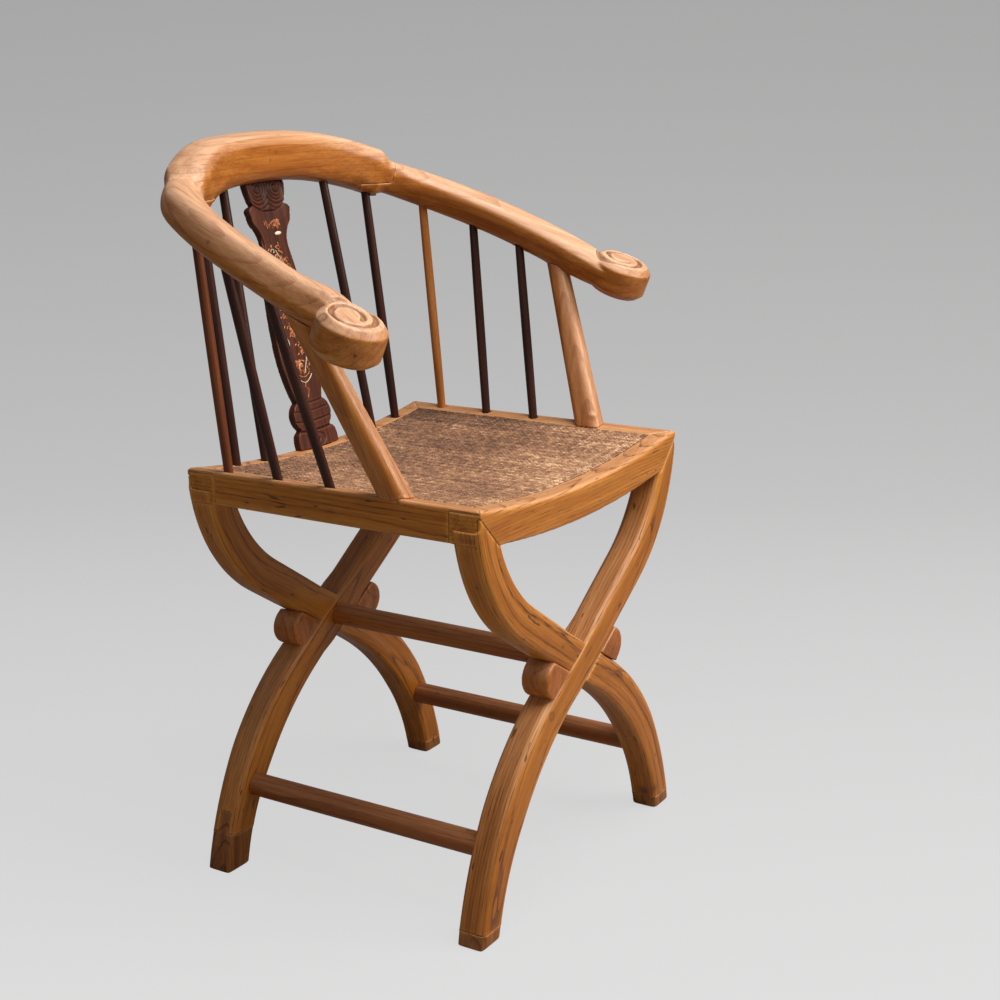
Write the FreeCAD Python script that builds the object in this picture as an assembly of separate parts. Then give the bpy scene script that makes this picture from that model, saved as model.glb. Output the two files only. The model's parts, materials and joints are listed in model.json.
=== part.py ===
import FreeCAD, Part
import math
import os

# A horseshoe back armchair on two crossed trestles. It stands on the floor with its front
# towards -Y. The sitter's right hand is at -X. The origin is the centre of its box on the floor.

os.makedirs("parts", exist_ok=True)

# Seat frame. The frame is a dipped slab: the front and back rails hang in the middle.
seat_width = 460.0
seat_depth = 396.0
seat_height = 500.0
seat_dip = 19.0
rail_height = 40.0
rail_width = 40.0
edge_round = 4.0
lip_thick = 5.0
rail_tenon_thick = 12.0
rail_tenon_high = 18.0
rail_tenon_long = 12.0

# Woven seat in its rabbet, its border strip and the battens below it.
rail_top_show = 26.0
rabbet_depth = 8.0
cane_thick = 4.0
border_width = 8.0
border_thick = 1.6
border_clearance = 0.25
batten_width = 26.0
batten_thick = 18.0
batten_offset = 78.0
batten_housing = 12.0

# Crossed legs, drawn on their centre line from the crossing outwards. The radii are shares of
# the height of their limb, and the crossing is at a share of the seat's height.
cross_height_share = 0.528
leg_depth = 36.5
foot_flare = 4.0
leg_thick_cross = 39.0
leg_thick_lower = 54.0
leg_thick_upper = 49.0
leg_thick_end = 40.0
lower_radius_share = 1.31
lower_start_angle = 32.0
lower_end_angle = 78.0
upper_radius_share = 1.0
upper_start_angle = 33.0
upper_end_angle = 78.0
arc_steps = 4
flat_share = 0.0005
leg_tongue_thick = 5.0
leg_tongue_drop = 8.0
leg_tenon_wide = 18.0
leg_tenon_thick = 14.0
leg_tenon_high = 22.0

# Bosses in the side angles of the crossings.
boss_radius = 23.0
boss_centre = 68.0

# Stretchers between the trestles.
stretcher_diameter = 28.0
stretcher_tenon_diameter = 18.0
stretcher_tenon_long = 16.0
low_stretcher_height = 97.0

# Separate tips below the legs, one of them a taller splice.
tip_height = 17.0
splice_height = 46.0
splice_finger_height = 24.0
splice_finger_width = 14.0

# Horseshoe rail: centre line from the middle of the back to the front of an arm. Each place is
# given in shares of half the seat's width, half its depth, and the back's height above the seat.
back_height = 340.0
crest_middle_share = (0.0, 1.288, 0.991)
crest_shares = ((0.417, 1.247, 0.971), (0.678, 1.157, 0.927))
seam_share = (0.843, 1.045, 0.887)
arm_shares = (
    (1.009, 0.838, 0.829),
    (1.113, 0.535, 0.760),
    (1.167, 0.202, 0.682),
    (1.187, -0.136, 0.597),
    (1.180, -0.400, 0.532),
)
crest_half_width = 25.0
crest_half_height = 30.0
arm_half_width = 21.0
arm_half_height = 21.0
arm_roll = 22.0
rail_corner_share = 0.62
corner_flats = 2
crest_steps = 2
arm_steps = 5
shoulder_share = 0.90
shoulder_end_share = 0.97

# Lapped scarf between crest and arm, with its wedge pin.
lap_length = 46.0
lap_drop = 6.0
pin_side = 8.0
pin_length = 34.0

# Scroll at the front end of each arm, placed in the same shares as the rail.
scroll_place_share = (1.270, -0.424, 0.527)
scroll_radius = 38.0
scroll_height = 44.0
scroll_round = 8.0
scroll_tilt = 22.0
scroll_neck_share = 0.78

# Spindles and arm posts. Their feet are set in from the outside of the seat frame, and at
# shares of its half depth or width. Their heads are places on the rail, in the rail's shares.
spindle_diameter = 12.0
spindle_entry = 13.0
spindle_inset = 11.0
back_spindle_inset = 16.0
side_spindle_shares = (0.732, 0.374, 0.010)
side_head_shares = ((0.970, 0.879, 0.812), (1.091, 0.571, 0.750), (1.143, 0.253, 0.685))
back_spindle_shares = (0.704, 0.474)
back_head_shares = ((0.696, 1.131, 0.918), (0.413, 1.237, 0.976))
post_inset = 19.0
post_foot_share = -0.455
post_head_share = (1.183, -0.010, 0.588)
post_foot_long = 38.0
post_foot_wide = 29.0
post_head_long = 27.0
post_head_wide = 25.0
post_round = 10.5
post_tenon_diameter = 12.0
post_tenon_long = 16.0

# Splat: a board that leans back with the spindles and bows a little. Its edge is a chain of
# arcs. Each arc has its end and its middle, as shares of the half width and of the height.
splat_thick = 10.0
splat_half_width = 40.5
splat_height = 345.0
splat_foot_inset = 11.0
splat_head_lean = 77.0
splat_bow = 4.0
splat_start_share = (1.0, 0.0)
splat_arc_shares = (
    ((0.91, 0.035), (0.67, 0.072)),
    ((0.90, 0.120), (0.60, 0.171)),
    ((0.84, 0.270), (0.91, 0.406)),
    ((0.80, 0.580), (0.55, 0.740)),
    ((0.57, 0.790), (0.76, 0.838)),
    ((0.97, 0.881), (0.63, 0.922)),
    ((0.91, 0.950), (0.98, 1.0)),
)
splat_tongue_thick = 6.0
splat_tongue_long = 12.0
splat_tongue_wide = 50.0
piercing_width = 6.0
piercing_height = 9.0

Vec = FreeCAD.Vector
up = Vec(0, 0, 1)
half_width = seat_width / 2
half_depth = seat_depth / 2
cross_height = seat_height * cross_height_share
foot_half_spread = half_width + foot_flare
dip_radius = (half_width ** 2 + seat_dip ** 2) / (2 * seat_dip)
rail_bottom = seat_height - rail_height


def seat_top(x):
    """Height of the dipped seat frame above the floor at x."""
    return seat_height - seat_dip + dip_radius - math.sqrt(dip_radius ** 2 - x ** 2)


def box(x0, x1, y0, y1, z0, z1):
    return Part.makeBox(x1 - x0, y1 - y0, z1 - z0, Vec(x0, y0, z0))


def dipped_slab(x0, x1, y0, y1, drop_top, drop_bottom):
    """A slab between two curves that follow the dip, the given drops below the frame's top."""
    middle = (x0 + x1) / 2

    def curve(drop):
        ends = [Vec(x, y0, seat_top(x) - drop) for x in (x0, middle, x1)]
        return Part.Arc(ends[0], ends[1], ends[2]).toShape(), ends[0], ends[2]

    top, top_left, top_right = curve(drop_top)
    bottom, bottom_left, bottom_right = curve(drop_bottom)
    right = Part.makeLine(top_right, bottom_right)
    left = Part.makeLine(bottom_left, top_left)
    face = Part.Face(Part.Wire([top, right, bottom, left]))
    return face.extrude(Vec(0, y1 - y0, 0))


def prism(corners, direction):
    """A straight prism on a polygon."""
    return Part.Face(Part.makePolygon(list(corners) + [corners[0]])).extrude(direction)


def mirror_x(shape):
    return shape.mirror(Vec(0, 0, 0), Vec(1, 0, 0))


def mirror_y(shape):
    return shape.mirror(Vec(0, 0, 0), Vec(0, 1, 0))


def only_solid(shape):
    """The largest solid of a result."""
    return max(shape.Solids, key=lambda solid: solid.Volume)


# The seat frame.

def arc_through(first, middle, last):
    return Part.Arc(first, middle, last).toShape()


def make_frame_ring():
    """The frame before it is divided: rounded outside, open inside, with the rabbet."""
    block = dipped_slab(-half_width, half_width, -half_depth, half_depth, 0, rail_height)
    outer = []
    for edge in block.Edges:
        middle = edge.valueAt((edge.FirstParameter + edge.LastParameter) / 2)
        on_top = middle.z > seat_top(middle.x) - lip_thick
        on_rim = max(abs(middle.x) - half_width, abs(middle.y) - half_depth) > -lip_thick
        if on_top and on_rim:
            outer.append(edge)
    block = block.makeFillet(edge_round, outer)
    inner_x = half_width - rail_width
    inner_y = half_depth - rail_width
    opening = box(-inner_x, inner_x, -inner_y, inner_y, rail_bottom - seat_dip * 2, seat_height)
    show_x = half_width - rail_top_show
    show_y = half_depth - rail_top_show
    rabbet = dipped_slab(-show_x, show_x, -show_y, show_y, -rabbet_depth, rabbet_depth)
    return block, block.cut(opening).cut(rabbet)


def lip_region():
    """The thin mitred corner that the side rail lays over the end of the front rail."""
    corner = (half_width, -half_depth)
    base = rail_bottom - seat_dip
    triangle = prism([Vec(corner[0], corner[1], base),
                      Vec(corner[0], corner[1] + rail_width, base),
                      Vec(corner[0] - rail_width, corner[1] + rail_width, base)],
                     Vec(0, 0, rail_height * 2))
    layer = dipped_slab(half_width - rail_width, half_width, -half_depth,
                        rail_width - half_depth, -lip_thick, lip_thick)
    return triangle.common(layer)


def rail_tenon():
    """The stub at the front end of the left side rail."""
    middle_x = half_width - rail_width / 2
    low = rail_bottom + (rail_height - rail_tenon_high) / 2 - lip_thick / 2
    start = rail_width - half_depth
    return box(middle_x - rail_tenon_thick / 2, middle_x + rail_tenon_thick / 2,
               start - rail_tenon_long, start, low, low + rail_tenon_high)


def leg_tongue():
    """The mitred face of the leg's top that covers the front rail's corner."""
    y = -half_depth
    reach = leg_thick_end
    return prism([Vec(half_width, y, seat_height - leg_tongue_drop),
                  Vec(half_width, y, rail_bottom - leg_tongue_drop),
                  Vec(half_width - reach, y, rail_bottom - leg_tongue_drop)],
                 Vec(0, leg_tongue_thick, 0))


def leg_tenon():
    """The hidden stub of the front left leg's top."""
    x = half_width - leg_thick_end / 2
    y = leg_depth / 2 - half_depth
    return box(x - leg_tenon_wide / 2, x + leg_tenon_wide / 2,
               y - leg_tenon_thick / 2, y + leg_tenon_thick / 2,
               rail_bottom - leg_tenon_high, rail_bottom + leg_tenon_high)


def four(shape):
    """A shape of the front left corner, and its mirror images in the other three."""
    left = [shape, mirror_y(shape)]
    return left + [mirror_x(one) for one in left]


# The crossed legs.

def limb(start_angle, end_angle, radius, rise, run):
    """Centre line of one limb from the crossing: a straight, an arc and a straight.

    The first straight is as long as it must be for the limb to reach run across and rise up.
    Each item has the distance across, the height and the direction in degrees."""
    a = math.radians(start_angle)
    b = math.radians(end_angle)
    arc_run = radius * (math.sin(b) - math.sin(a))
    arc_rise = radius * (math.cos(a) - math.cos(b))
    slope = math.tan(b)
    first = (run - arc_run - (rise - arc_rise) / slope) / (math.cos(a) - math.sin(a) / slope)
    line = [(0.0, 0.0, start_angle), (first / 2 * math.cos(a), first / 2 * math.sin(a), start_angle)]
    for i in range(arc_steps + 1):
        turn = a + (b - a) * i / arc_steps
        across = first * math.cos(a) + radius * (math.sin(turn) - math.sin(a))
        height = first * math.sin(a) + radius * (math.cos(a) - math.cos(turn))
        line.append((across, height, math.degrees(turn)))
    beyond = leg_thick_end / 2
    end = (run + beyond * math.cos(b), rise + beyond * math.sin(b))
    line.append(((line[-1][0] + end[0]) / 2, (line[-1][1] + end[1]) / 2, end_angle))
    line.append((end[0], end[1], end_angle))
    return line


def lower_limb():
    run = foot_half_spread - leg_thick_end / 2 / math.sin(math.radians(lower_end_angle))
    return limb(lower_start_angle, lower_end_angle, cross_height * lower_radius_share,
                cross_height, run)


def upper_limb():
    run = half_width - leg_thick_end / 2 / math.sin(math.radians(upper_end_angle))
    rise = rail_bottom - cross_height
    return limb(upper_start_angle, upper_end_angle, rise * upper_radius_share, rise, run)


def leg_outline():
    """Both edges of the leg that runs from the right foot up to the left corner."""
    line = [(-x, cross_height - z, turn) for x, z, turn in reversed(lower_limb()[1:])]
    line += [(0.0, cross_height, (upper_start_angle + lower_start_angle) / 2)]
    line += [(x, cross_height + z, turn) for x, z, turn in upper_limb()[1:]]
    first, second = [], []
    for x, z, turn in line:
        share = min(1.0, abs(z - cross_height) / (rail_bottom - cross_height))
        limb_thick = leg_thick_lower if z < cross_height else leg_thick_upper
        half = (leg_thick_cross * (1 - share) ** 2 + limb_thick * 2 * share * (1 - share)
                + leg_thick_end * share ** 2) / 2
        a = math.radians(turn)
        first.append(Vec(x - half * math.sin(a), 0, z + half * math.cos(a)))
        second.append(Vec(x + half * math.sin(a), 0, z - half * math.cos(a)))
    return first, second


def arc_chain(points):
    """Edges through the points, an arc through every three."""
    edges = []
    for a, b, c in zip(points[:-2:2], points[1:-1:2], points[2::2]):
        straight = (b - a).cross(c - b).Length < (c - a).Length ** 2 * flat_share
        edges.append(Part.makeLine(a, c) if straight else arc_through(a, b, c))
    return edges


def make_leg_blank():
    """The whole leg in the front trestle, before its joints are cut."""
    first, second = leg_outline()
    wire = Part.Wire(arc_chain(first) + [Part.makeLine(first[-1], second[-1])]
                     + arc_chain(second[::-1]) + [Part.makeLine(second[0], first[0])])
    leg = Part.Face(wire).extrude(Vec(0, leg_depth, 0))
    leg.translate(Vec(0, -half_depth, 0))
    floor = box(-seat_width, seat_width, -seat_depth, seat_depth, -seat_height, 0)
    return leg.cut(floor)


def make_boss():
    """The left boss of the front trestle: a round nose that runs back into the angle."""
    blank = make_leg_blank()
    nose = Part.makeCylinder(boss_radius, leg_depth, Vec(boss_centre, -half_depth, cross_height),
                             Vec(0, 1, 0))
    spread = boss_centre * math.tan(math.radians(lower_start_angle))
    wedge = prism([Vec(0, -half_depth, cross_height),
                   Vec(boss_centre, -half_depth, cross_height + spread),
                   Vec(boss_centre, -half_depth, cross_height - spread)], Vec(0, leg_depth, 0))
    return only_solid(nose.fuse(wedge).cut(blank).cut(mirror_x(blank)))


# The horseshoe rail.

def on_rail(share):
    """A place given in shares of the seat's half width and half depth and the back's height."""
    return Vec(share[0] * half_width, share[1] * half_depth, seat_height + share[2] * back_height)


def rail_line():
    """Centre line of the whole horseshoe, from the right arm round to the left one."""
    left = crest_shares + (seam_share,) + arm_shares
    points = [on_rail((-x, y, z)) for x, y, z in reversed(left)]
    points += [on_rail(crest_middle_share)] + [on_rail(share) for share in left]
    curve = Part.BSplineCurve()
    curve.interpolate(points)
    return curve


def soft_square(place, across, rise, wide, high):
    """A square outline round a place, with its corners rounded off in short flats."""
    soft = min(wide, high) * rail_corner_share
    points = []
    for turn, (x_sign, z_sign) in enumerate(((1, 1), (-1, 1), (-1, -1), (1, -1))):
        for i in range(corner_flats + 1):
            a = math.pi / 2 * (turn + i / corner_flats)
            points.append(place + across * (x_sign * (wide - soft) + soft * math.cos(a))
                          + rise * (z_sign * (high - soft) + soft * math.sin(a)))
    return Part.makePolygon(points + points[:1])


def section(place, tangent, wide, high, roll):
    """A rounded square, square to the rail's centre line. The roll turns its top outwards."""
    side = tangent.cross(up).normalize()
    above = side.cross(tangent).normalize()
    a = math.radians(roll)
    across = side * math.cos(a) - above * math.sin(a)
    rise = side * math.sin(a) + above * math.cos(a)
    return soft_square(place, across, rise, wide, high)


def make_crest_blank():
    """The middle of the rail: full from shoulder to shoulder, then stepped down to the seams."""
    line = rail_line()
    end = line.parameter(on_rail(seam_share))
    middle = line.parameter(on_rail(crest_middle_share))

    def cut_at(share, wide, high, roll):
        spot = middle + (end - middle) * share
        return section(line.value(spot), line.tangent(spot)[0], wide, high, roll)

    full = [cut_at(shoulder_share * i / crest_steps, crest_half_width, crest_half_height, 0)
            for i in range(-crest_steps, crest_steps + 1)]
    body = Part.makeLoft(full, True, False)
    stepped = [full[-1]] + [cut_at(share, arm_half_width, arm_half_height, arm_roll / 2)
                            for share in (shoulder_end_share, 1.0)]
    shoulder = Part.makeLoft(stepped, True, True)
    return body.fuse([shoulder, mirror_x(shoulder)])


def make_arm_blank():
    """The left arm from the seam to the scroll."""
    line = rail_line()
    start = line.parameter(on_rail(seam_share))
    end = line.parameter(on_rail(arm_shares[-1]))
    wires = []
    for i in range(arm_steps + 1):
        spot = start + (end - start) * i / arm_steps
        roll = arm_roll / 2 if i == 0 else arm_roll
        share = scroll_neck_share if i == arm_steps else 1
        wires.append(section(line.value(spot), line.tangent(spot)[0], arm_half_width * share,
                             arm_half_height * share, roll))
    return Part.makeLoft(wires, True, False)


def round_ring(height, radius):
    """A circle made of four arcs."""
    points = [Vec(radius * math.cos(a), radius * math.sin(a), height)
              for a in [math.pi / 4 * i for i in range(9)]]
    return Part.Wire(arc_chain(points))


def make_scroll():
    """The knob that carries the volute: a thick disc, tipped forward with the arm."""
    half = scroll_height / 2
    levels = ((-half, scroll_radius - scroll_round), (scroll_round - half, scroll_radius),
              (half - scroll_round, scroll_radius), (half, scroll_radius - scroll_round))
    disc = Part.makeLoft([round_ring(z, r) for z, r in levels], True, True)
    disc.rotate(Vec(0, 0, 0), Vec(1, 0, 0), scroll_tilt)
    disc.translate(on_rail(scroll_place_share))
    return disc


def seam_place():
    """The seam's middle and the level direction of the rail there."""
    line = rail_line()
    place = on_rail(seam_share)
    along = line.tangent(line.parameter(place))[0]
    return place, Vec(along.x, along.y, 0).normalize()


def lap_region():
    """The space of the arm's tongue below the crest, on the left side."""
    place, flat = seam_place()
    side = flat.cross(up).normalize()
    reach = crest_half_width * 2
    start = place - side * reach - up * lap_drop
    depth = crest_half_height * 2
    corners = [start, start + side * reach * 2,
               start + side * reach * 2 - up * depth, start - up * depth]
    return prism(corners, flat * -lap_length)


def make_pin():
    """The wedge pin that locks the scarf, driven up through the lap."""
    place, flat = seam_place()
    middle = place - flat * (lap_length / 2)
    low = middle + up * (-lap_drop - pin_length / 2)
    return Part.makeBox(pin_side, pin_side, pin_length,
                        low - Vec(pin_side / 2, pin_side / 2, 0))


# Spindles, posts and the splat.

def make_spindle(foot_x, foot_y, head):
    """A round rod from its hole in the seat frame to its place in the rail."""
    foot = Vec(foot_x, foot_y, seat_top(foot_x))
    axis = (head - foot).normalize()
    start = foot - axis * spindle_entry
    return Part.makeCylinder(spindle_diameter / 2, (head - start).Length, start, axis)


def tapered_plank(foot, head, foot_size, head_size, out, through):
    """A straight plank between two heights that tapers along out and is thick along through."""
    corners = [foot - out * (foot_size / 2), foot + out * (foot_size / 2),
               head + out * (head_size / 2), head - out * (head_size / 2)]
    return prism([corner - through * (corner.dot(through) + seat_width) for corner in corners],
                 through * seat_width * 2)


def make_post(block, arm):
    """The left arm post, stout, oval and leaning, and its stubs, which cut their own holes."""
    x = half_width - post_inset
    foot = Vec(x, post_foot_share * half_depth, rail_bottom + rail_height / 2)
    head = on_rail(post_head_share)
    x_way, y_way = Vec(1, 0, 0), Vec(0, 1, 0)
    body = tapered_plank(foot, head, post_foot_wide, post_head_wide, x_way, y_way).common(
        tapered_plank(foot, head, post_foot_long, post_head_long, y_way, x_way))
    long_edges = [edge for edge in body.Edges if edge.Length > head.z - foot.z]
    body = body.makeFillet(post_round, long_edges)
    body = only_solid(body.cut(block).cut(arm))
    base = Vec(x, foot.y, seat_top(x))
    axis = (head - foot).normalize()
    stubs = [Part.makeCylinder(post_tenon_diameter / 2, post_tenon_long * 2,
                               base - up * post_tenon_long),
             Part.makeCylinder(post_tenon_diameter / 2, post_tenon_long * 2,
                               head - axis * post_tenon_long * 2, axis)]
    return body.fuse(stubs).removeSplitter(), stubs


def make_splat(block, crest):
    """The bowed board in the middle of the back, and the thinner board of its two tongues."""
    foot = Vec(0, half_depth - splat_foot_inset, seat_top(0))
    lean = Vec(0, splat_head_lean, splat_height).normalize()
    normal = Vec(1, 0, 0).cross(lean)
    reach = splat_thick + splat_bow * 2

    def on_board(sign, share):
        return (foot - normal * reach + Vec(sign * share[0] * splat_half_width, 0, 0)
                + lean * (share[1] * splat_height))

    def edge(sign):
        points = [on_board(sign, splat_start_share)]
        for middle, end in splat_arc_shares:
            points += [on_board(sign, middle), on_board(sign, end)]
        return points

    right, left = edge(1), edge(-1)
    outline = Part.Wire(arc_chain(right) + [Part.makeLine(right[-1], left[-1])]
                        + arc_chain(left[::-1]) + [Part.makeLine(left[0], right[0])])
    blank = Part.Face(outline).extrude(normal * reach * 2)

    def bowed(thick):
        """A plank of that thickness, bowed backwards and wider than the splat."""
        low = foot - lean * splat_tongue_long
        high = foot + lean * (splat_height + splat_tongue_long)
        middle = (low + high) * 0.5 - normal * splat_bow
        shift = normal * (thick / 2)
        front = arc_through(low + shift, middle + shift, high + shift)
        rear = arc_through(high - shift, middle - shift, low - shift)
        wire = Part.Wire([front, Part.makeLine(high + shift, high - shift), rear,
                          Part.makeLine(low - shift, low + shift)])
        plank = Part.Face(wire).extrude(Vec(seat_width, 0, 0))
        plank.translate(Vec(-half_width, 0, 0))
        return plank

    body = only_solid(blank.common(bowed(splat_thick)).cut(block).cut(crest))
    half = splat_tongue_wide / 2
    tongue = bowed(splat_tongue_thick).common(
        box(-half, half, 0, seat_depth, 0, body.BoundBox.ZMax + splat_tongue_long))
    board = body.fuse(tongue).removeSplitter()
    radius = piercing_width / 2
    middle = foot - normal * reach + lean * piercing_height
    hole = Part.makeCylinder(radius, reach * 2, middle, normal)
    return board.cut(hole), tongue


def make_rails(ring):
    """Front rail and left side rail, with their joints cut."""
    lips = four(lip_region())
    side_tenons = four(rail_tenon())
    inner_y = half_depth - rail_width
    front = ring.common(box(-seat_width, seat_width, -seat_depth, -inner_y, 0, seat_height * 2))
    for cutter in lips + four(leg_tongue()) + four(leg_tenon()) + side_tenons:
        front = front.cut(cutter)
    side = ring.common(box(0, seat_width, -inner_y, inner_y, 0, seat_height * 2))
    side = side.fuse([ring.common(lips[0]), ring.common(lips[1])] + side_tenons[:2])
    return only_solid(front), only_solid(side.removeSplitter())


def make_legs():
    """The four legs, by name. On its front face each crossing shows the through leg whole."""
    blank = make_leg_blank()
    above = dipped_slab(-half_width, half_width, -seat_depth, seat_depth, -rail_height, rail_height)
    blank = only_solid(blank.cut(above))
    rail_space = dipped_slab(0, half_width, -half_depth, 0, 0, rail_height)
    top = leg_tongue().fuse(leg_tenon()).common(rail_space)
    through = blank.fuse(top).removeSplitter()
    lapped = mirror_x(through)
    crossing = blank.common(mirror_x(blank))
    middle = leg_depth / 2 - half_depth
    front_half = crossing.common(box(-seat_width, seat_width, -seat_depth, middle, 0, seat_height))
    back_half = crossing.common(box(-seat_width, seat_width, middle, seat_depth, 0, seat_height))
    return {
        "leg_front_through": only_solid(through.cut(back_half)),
        "leg_front_lapped": only_solid(lapped.cut(front_half)),
        "leg_back_through": mirror_y(only_solid(through.cut(front_half))),
        "leg_back_lapped": mirror_y(only_solid(lapped.cut(back_half))),
    }


def limb_across(drop):
    """How far the centre line of a lower limb is from the middle, that far below the crossing."""
    line = lower_limb()
    for (x0, z0, _), (x1, z1, _) in zip(line, line[1:]):
        if z0 <= drop <= z1:
            return x0 + (x1 - x0) * (drop - z0) / (z1 - z0)
    return line[-1][0]


def make_stretcher(x, z):
    """A round rod from trestle to trestle with a thinner stub at each end."""
    inner = half_depth - leg_depth
    body = Part.makeCylinder(stretcher_diameter / 2, inner * 2, Vec(x, -inner, z), Vec(0, 1, 0))
    end = inner + stretcher_tenon_long
    stub = Part.makeCylinder(stretcher_tenon_diameter / 2, end * 2, Vec(x, -end, z), Vec(0, 1, 0))
    return body.fuse(stub).removeSplitter()


def tip_zone(x_sign, y_sign, spliced):
    """The space of a foot tip. The spliced one is taller and has a finger up its middle."""
    reach = seat_width
    x0, x1 = sorted((0, x_sign * reach))
    y0, y1 = sorted((0, y_sign * reach))
    if not spliced:
        return box(x0, x1, y0, y1, 0, tip_height)
    middle = y_sign * (half_depth - leg_depth / 2)
    half = splice_finger_width / 2
    finger = box(x0, x1, middle - half, middle + half, 0, splice_height + splice_finger_height)
    return box(x0, x1, y0, y1, 0, splice_height).fuse(finger)


def cut_all(shape, cutters):
    for cutter in cutters:
        shape = shape.cut(cutter)
    return only_solid(shape)


def build():
    block, ring = make_frame_ring()
    front, side = make_rails(ring)
    legs = make_legs()
    low_x = limb_across(cross_height - low_stretcher_height)
    stretchers = {
        "stretcher_middle": make_stretcher(0, cross_height),
        "stretcher_right": make_stretcher(-low_x, low_stretcher_height),
        "stretcher_left": make_stretcher(low_x, low_stretcher_height),
    }

    nodes = {}
    ends = (("front_right", -1, -1), ("front_left", 1, -1), ("back_right", -1, 1), ("back_left", 1, 1))
    owners = {"front_right": "leg_front_through", "front_left": "leg_front_lapped",
              "back_right": "leg_back_through", "back_left": "leg_back_lapped"}
    for name, x_sign, y_sign in ends:
        zone = tip_zone(x_sign, y_sign, name == "back_right")
        owner = owners[name]
        nodes["foot_tip_" + name] = only_solid(legs[owner].common(zone))
        legs[owner] = only_solid(legs[owner].cut(zone))
    for name, leg in legs.items():
        nodes[name] = cut_all(leg, stretchers.values())
    nodes.update(stretchers)

    boss = make_boss()
    nodes["boss_front_left"] = boss
    nodes["boss_front_right"] = mirror_x(boss)
    nodes["boss_back_left"] = mirror_y(boss)
    nodes["boss_back_right"] = mirror_y(mirror_x(boss))

    crest_blank = make_crest_blank()
    arm = make_arm_blank().fuse(make_scroll()).removeSplitter()
    lap = crest_blank.common(lap_region())
    arm = arm.fuse(lap).removeSplitter()
    crest = crest_blank.cut(lap).cut(mirror_x(lap))
    pin = make_pin()

    side_spindles = [make_spindle(half_width - spindle_inset, y * half_depth, on_rail(head))
                     for y, head in zip(side_spindle_shares, side_head_shares)]
    back_spindles = [make_spindle(x * half_width, half_depth - back_spindle_inset, on_rail(head))
                     for x, head in zip(back_spindle_shares, back_head_shares)]
    post, stubs = make_post(block, arm)
    splat, tongue = make_splat(block, crest_blank)

    arm = cut_all(arm, side_spindles + back_spindles + stubs[1:] + [pin])
    crest_cutters = [tongue]
    for cutter in back_spindles + [pin]:
        crest_cutters += [cutter, mirror_x(cutter)]
    crest = cut_all(crest, crest_cutters)
    side = cut_all(side, side_spindles + stubs[:1])

    battens = []
    for x in (-batten_offset, batten_offset):
        end = half_depth - rail_width + batten_housing
        battens.append(dipped_slab(x - batten_width / 2, x + batten_width / 2, -end, end,
                                   rabbet_depth, rabbet_depth + batten_thick))
    back_cutters = [tongue] + battens
    for cutter in back_spindles:
        back_cutters += [cutter, mirror_x(cutter)]

    nodes["front_rail"] = cut_all(front, battens)
    nodes["back_rail"] = cut_all(mirror_y(front), back_cutters)
    nodes["side_rail_left"] = side
    nodes["side_rail_right"] = mirror_x(side)
    nodes["seat_batten_right"], nodes["seat_batten_left"] = battens

    show_x = half_width - rail_top_show
    show_y = half_depth - rail_top_show
    cane_top = rabbet_depth - cane_thick
    nodes["seat_cane"] = dipped_slab(-show_x, show_x, -show_y, show_y, cane_top, rabbet_depth)
    strip_low = cane_top - border_clearance
    strip = dipped_slab(-show_x, show_x, -show_y, show_y, strip_low - border_thick, strip_low)
    inside = dipped_slab(border_width - show_x, show_x - border_width, border_width - show_y,
                         show_y - border_width, -rail_height, rail_height)
    nodes["seat_border"] = only_solid(strip.cut(inside))

    nodes["crest"] = crest
    nodes["arm_left"] = arm
    nodes["arm_right"] = mirror_x(arm)
    nodes["scarf_pin_left"] = pin
    nodes["scarf_pin_right"] = mirror_x(pin)
    nodes["arm_post_left"] = post
    nodes["arm_post_right"] = mirror_x(post)
    nodes["splat"] = splat
    for i, spindle in enumerate(side_spindles, 1):
        nodes["side_spindle_left_%d" % i] = spindle
        nodes["side_spindle_right_%d" % i] = mirror_x(spindle)
    for i, spindle in enumerate(back_spindles, 1):
        nodes["back_spindle_left_%d" % i] = spindle
        nodes["back_spindle_right_%d" % i] = mirror_x(spindle)
    return nodes


def write_steps(nodes):
    """Put the origin on the floor below the middle of the chair's box, and write every piece."""
    boxes = [shape.optimalBoundingBox(False) for shape in nodes.values()]
    middle = (min(size.YMin for size in boxes) + max(size.YMax for size in boxes)) / 2
    for name, shape in nodes.items():
        shape.translate(Vec(0, -middle, 0))
        shape.exportStep("parts/" + name + ".step")
        size = shape.optimalBoundingBox(False)
        print("%-22s %d solid, valid %s, %7.1f cm3, z %.1f to %.1f" % (
            name, len(shape.Solids), shape.isValid(), shape.Volume / 1000, size.ZMin, size.ZMax))


write_steps(build())
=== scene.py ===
# %% [markdown]
# A horseshoe back armchair of waxed elm on two crossed trestles. The solid pieces come from the
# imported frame. This lesson gives each of them soft worn edges, real grain and carving, and weaves
# the seat strand by strand.

# %% Load the frame
import bpy
import json
import math
import numpy as np
from mathutils import Matrix, Vector
from mathutils.bvhtree import BVHTree
from mathutils.kdtree import KDTree

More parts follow.
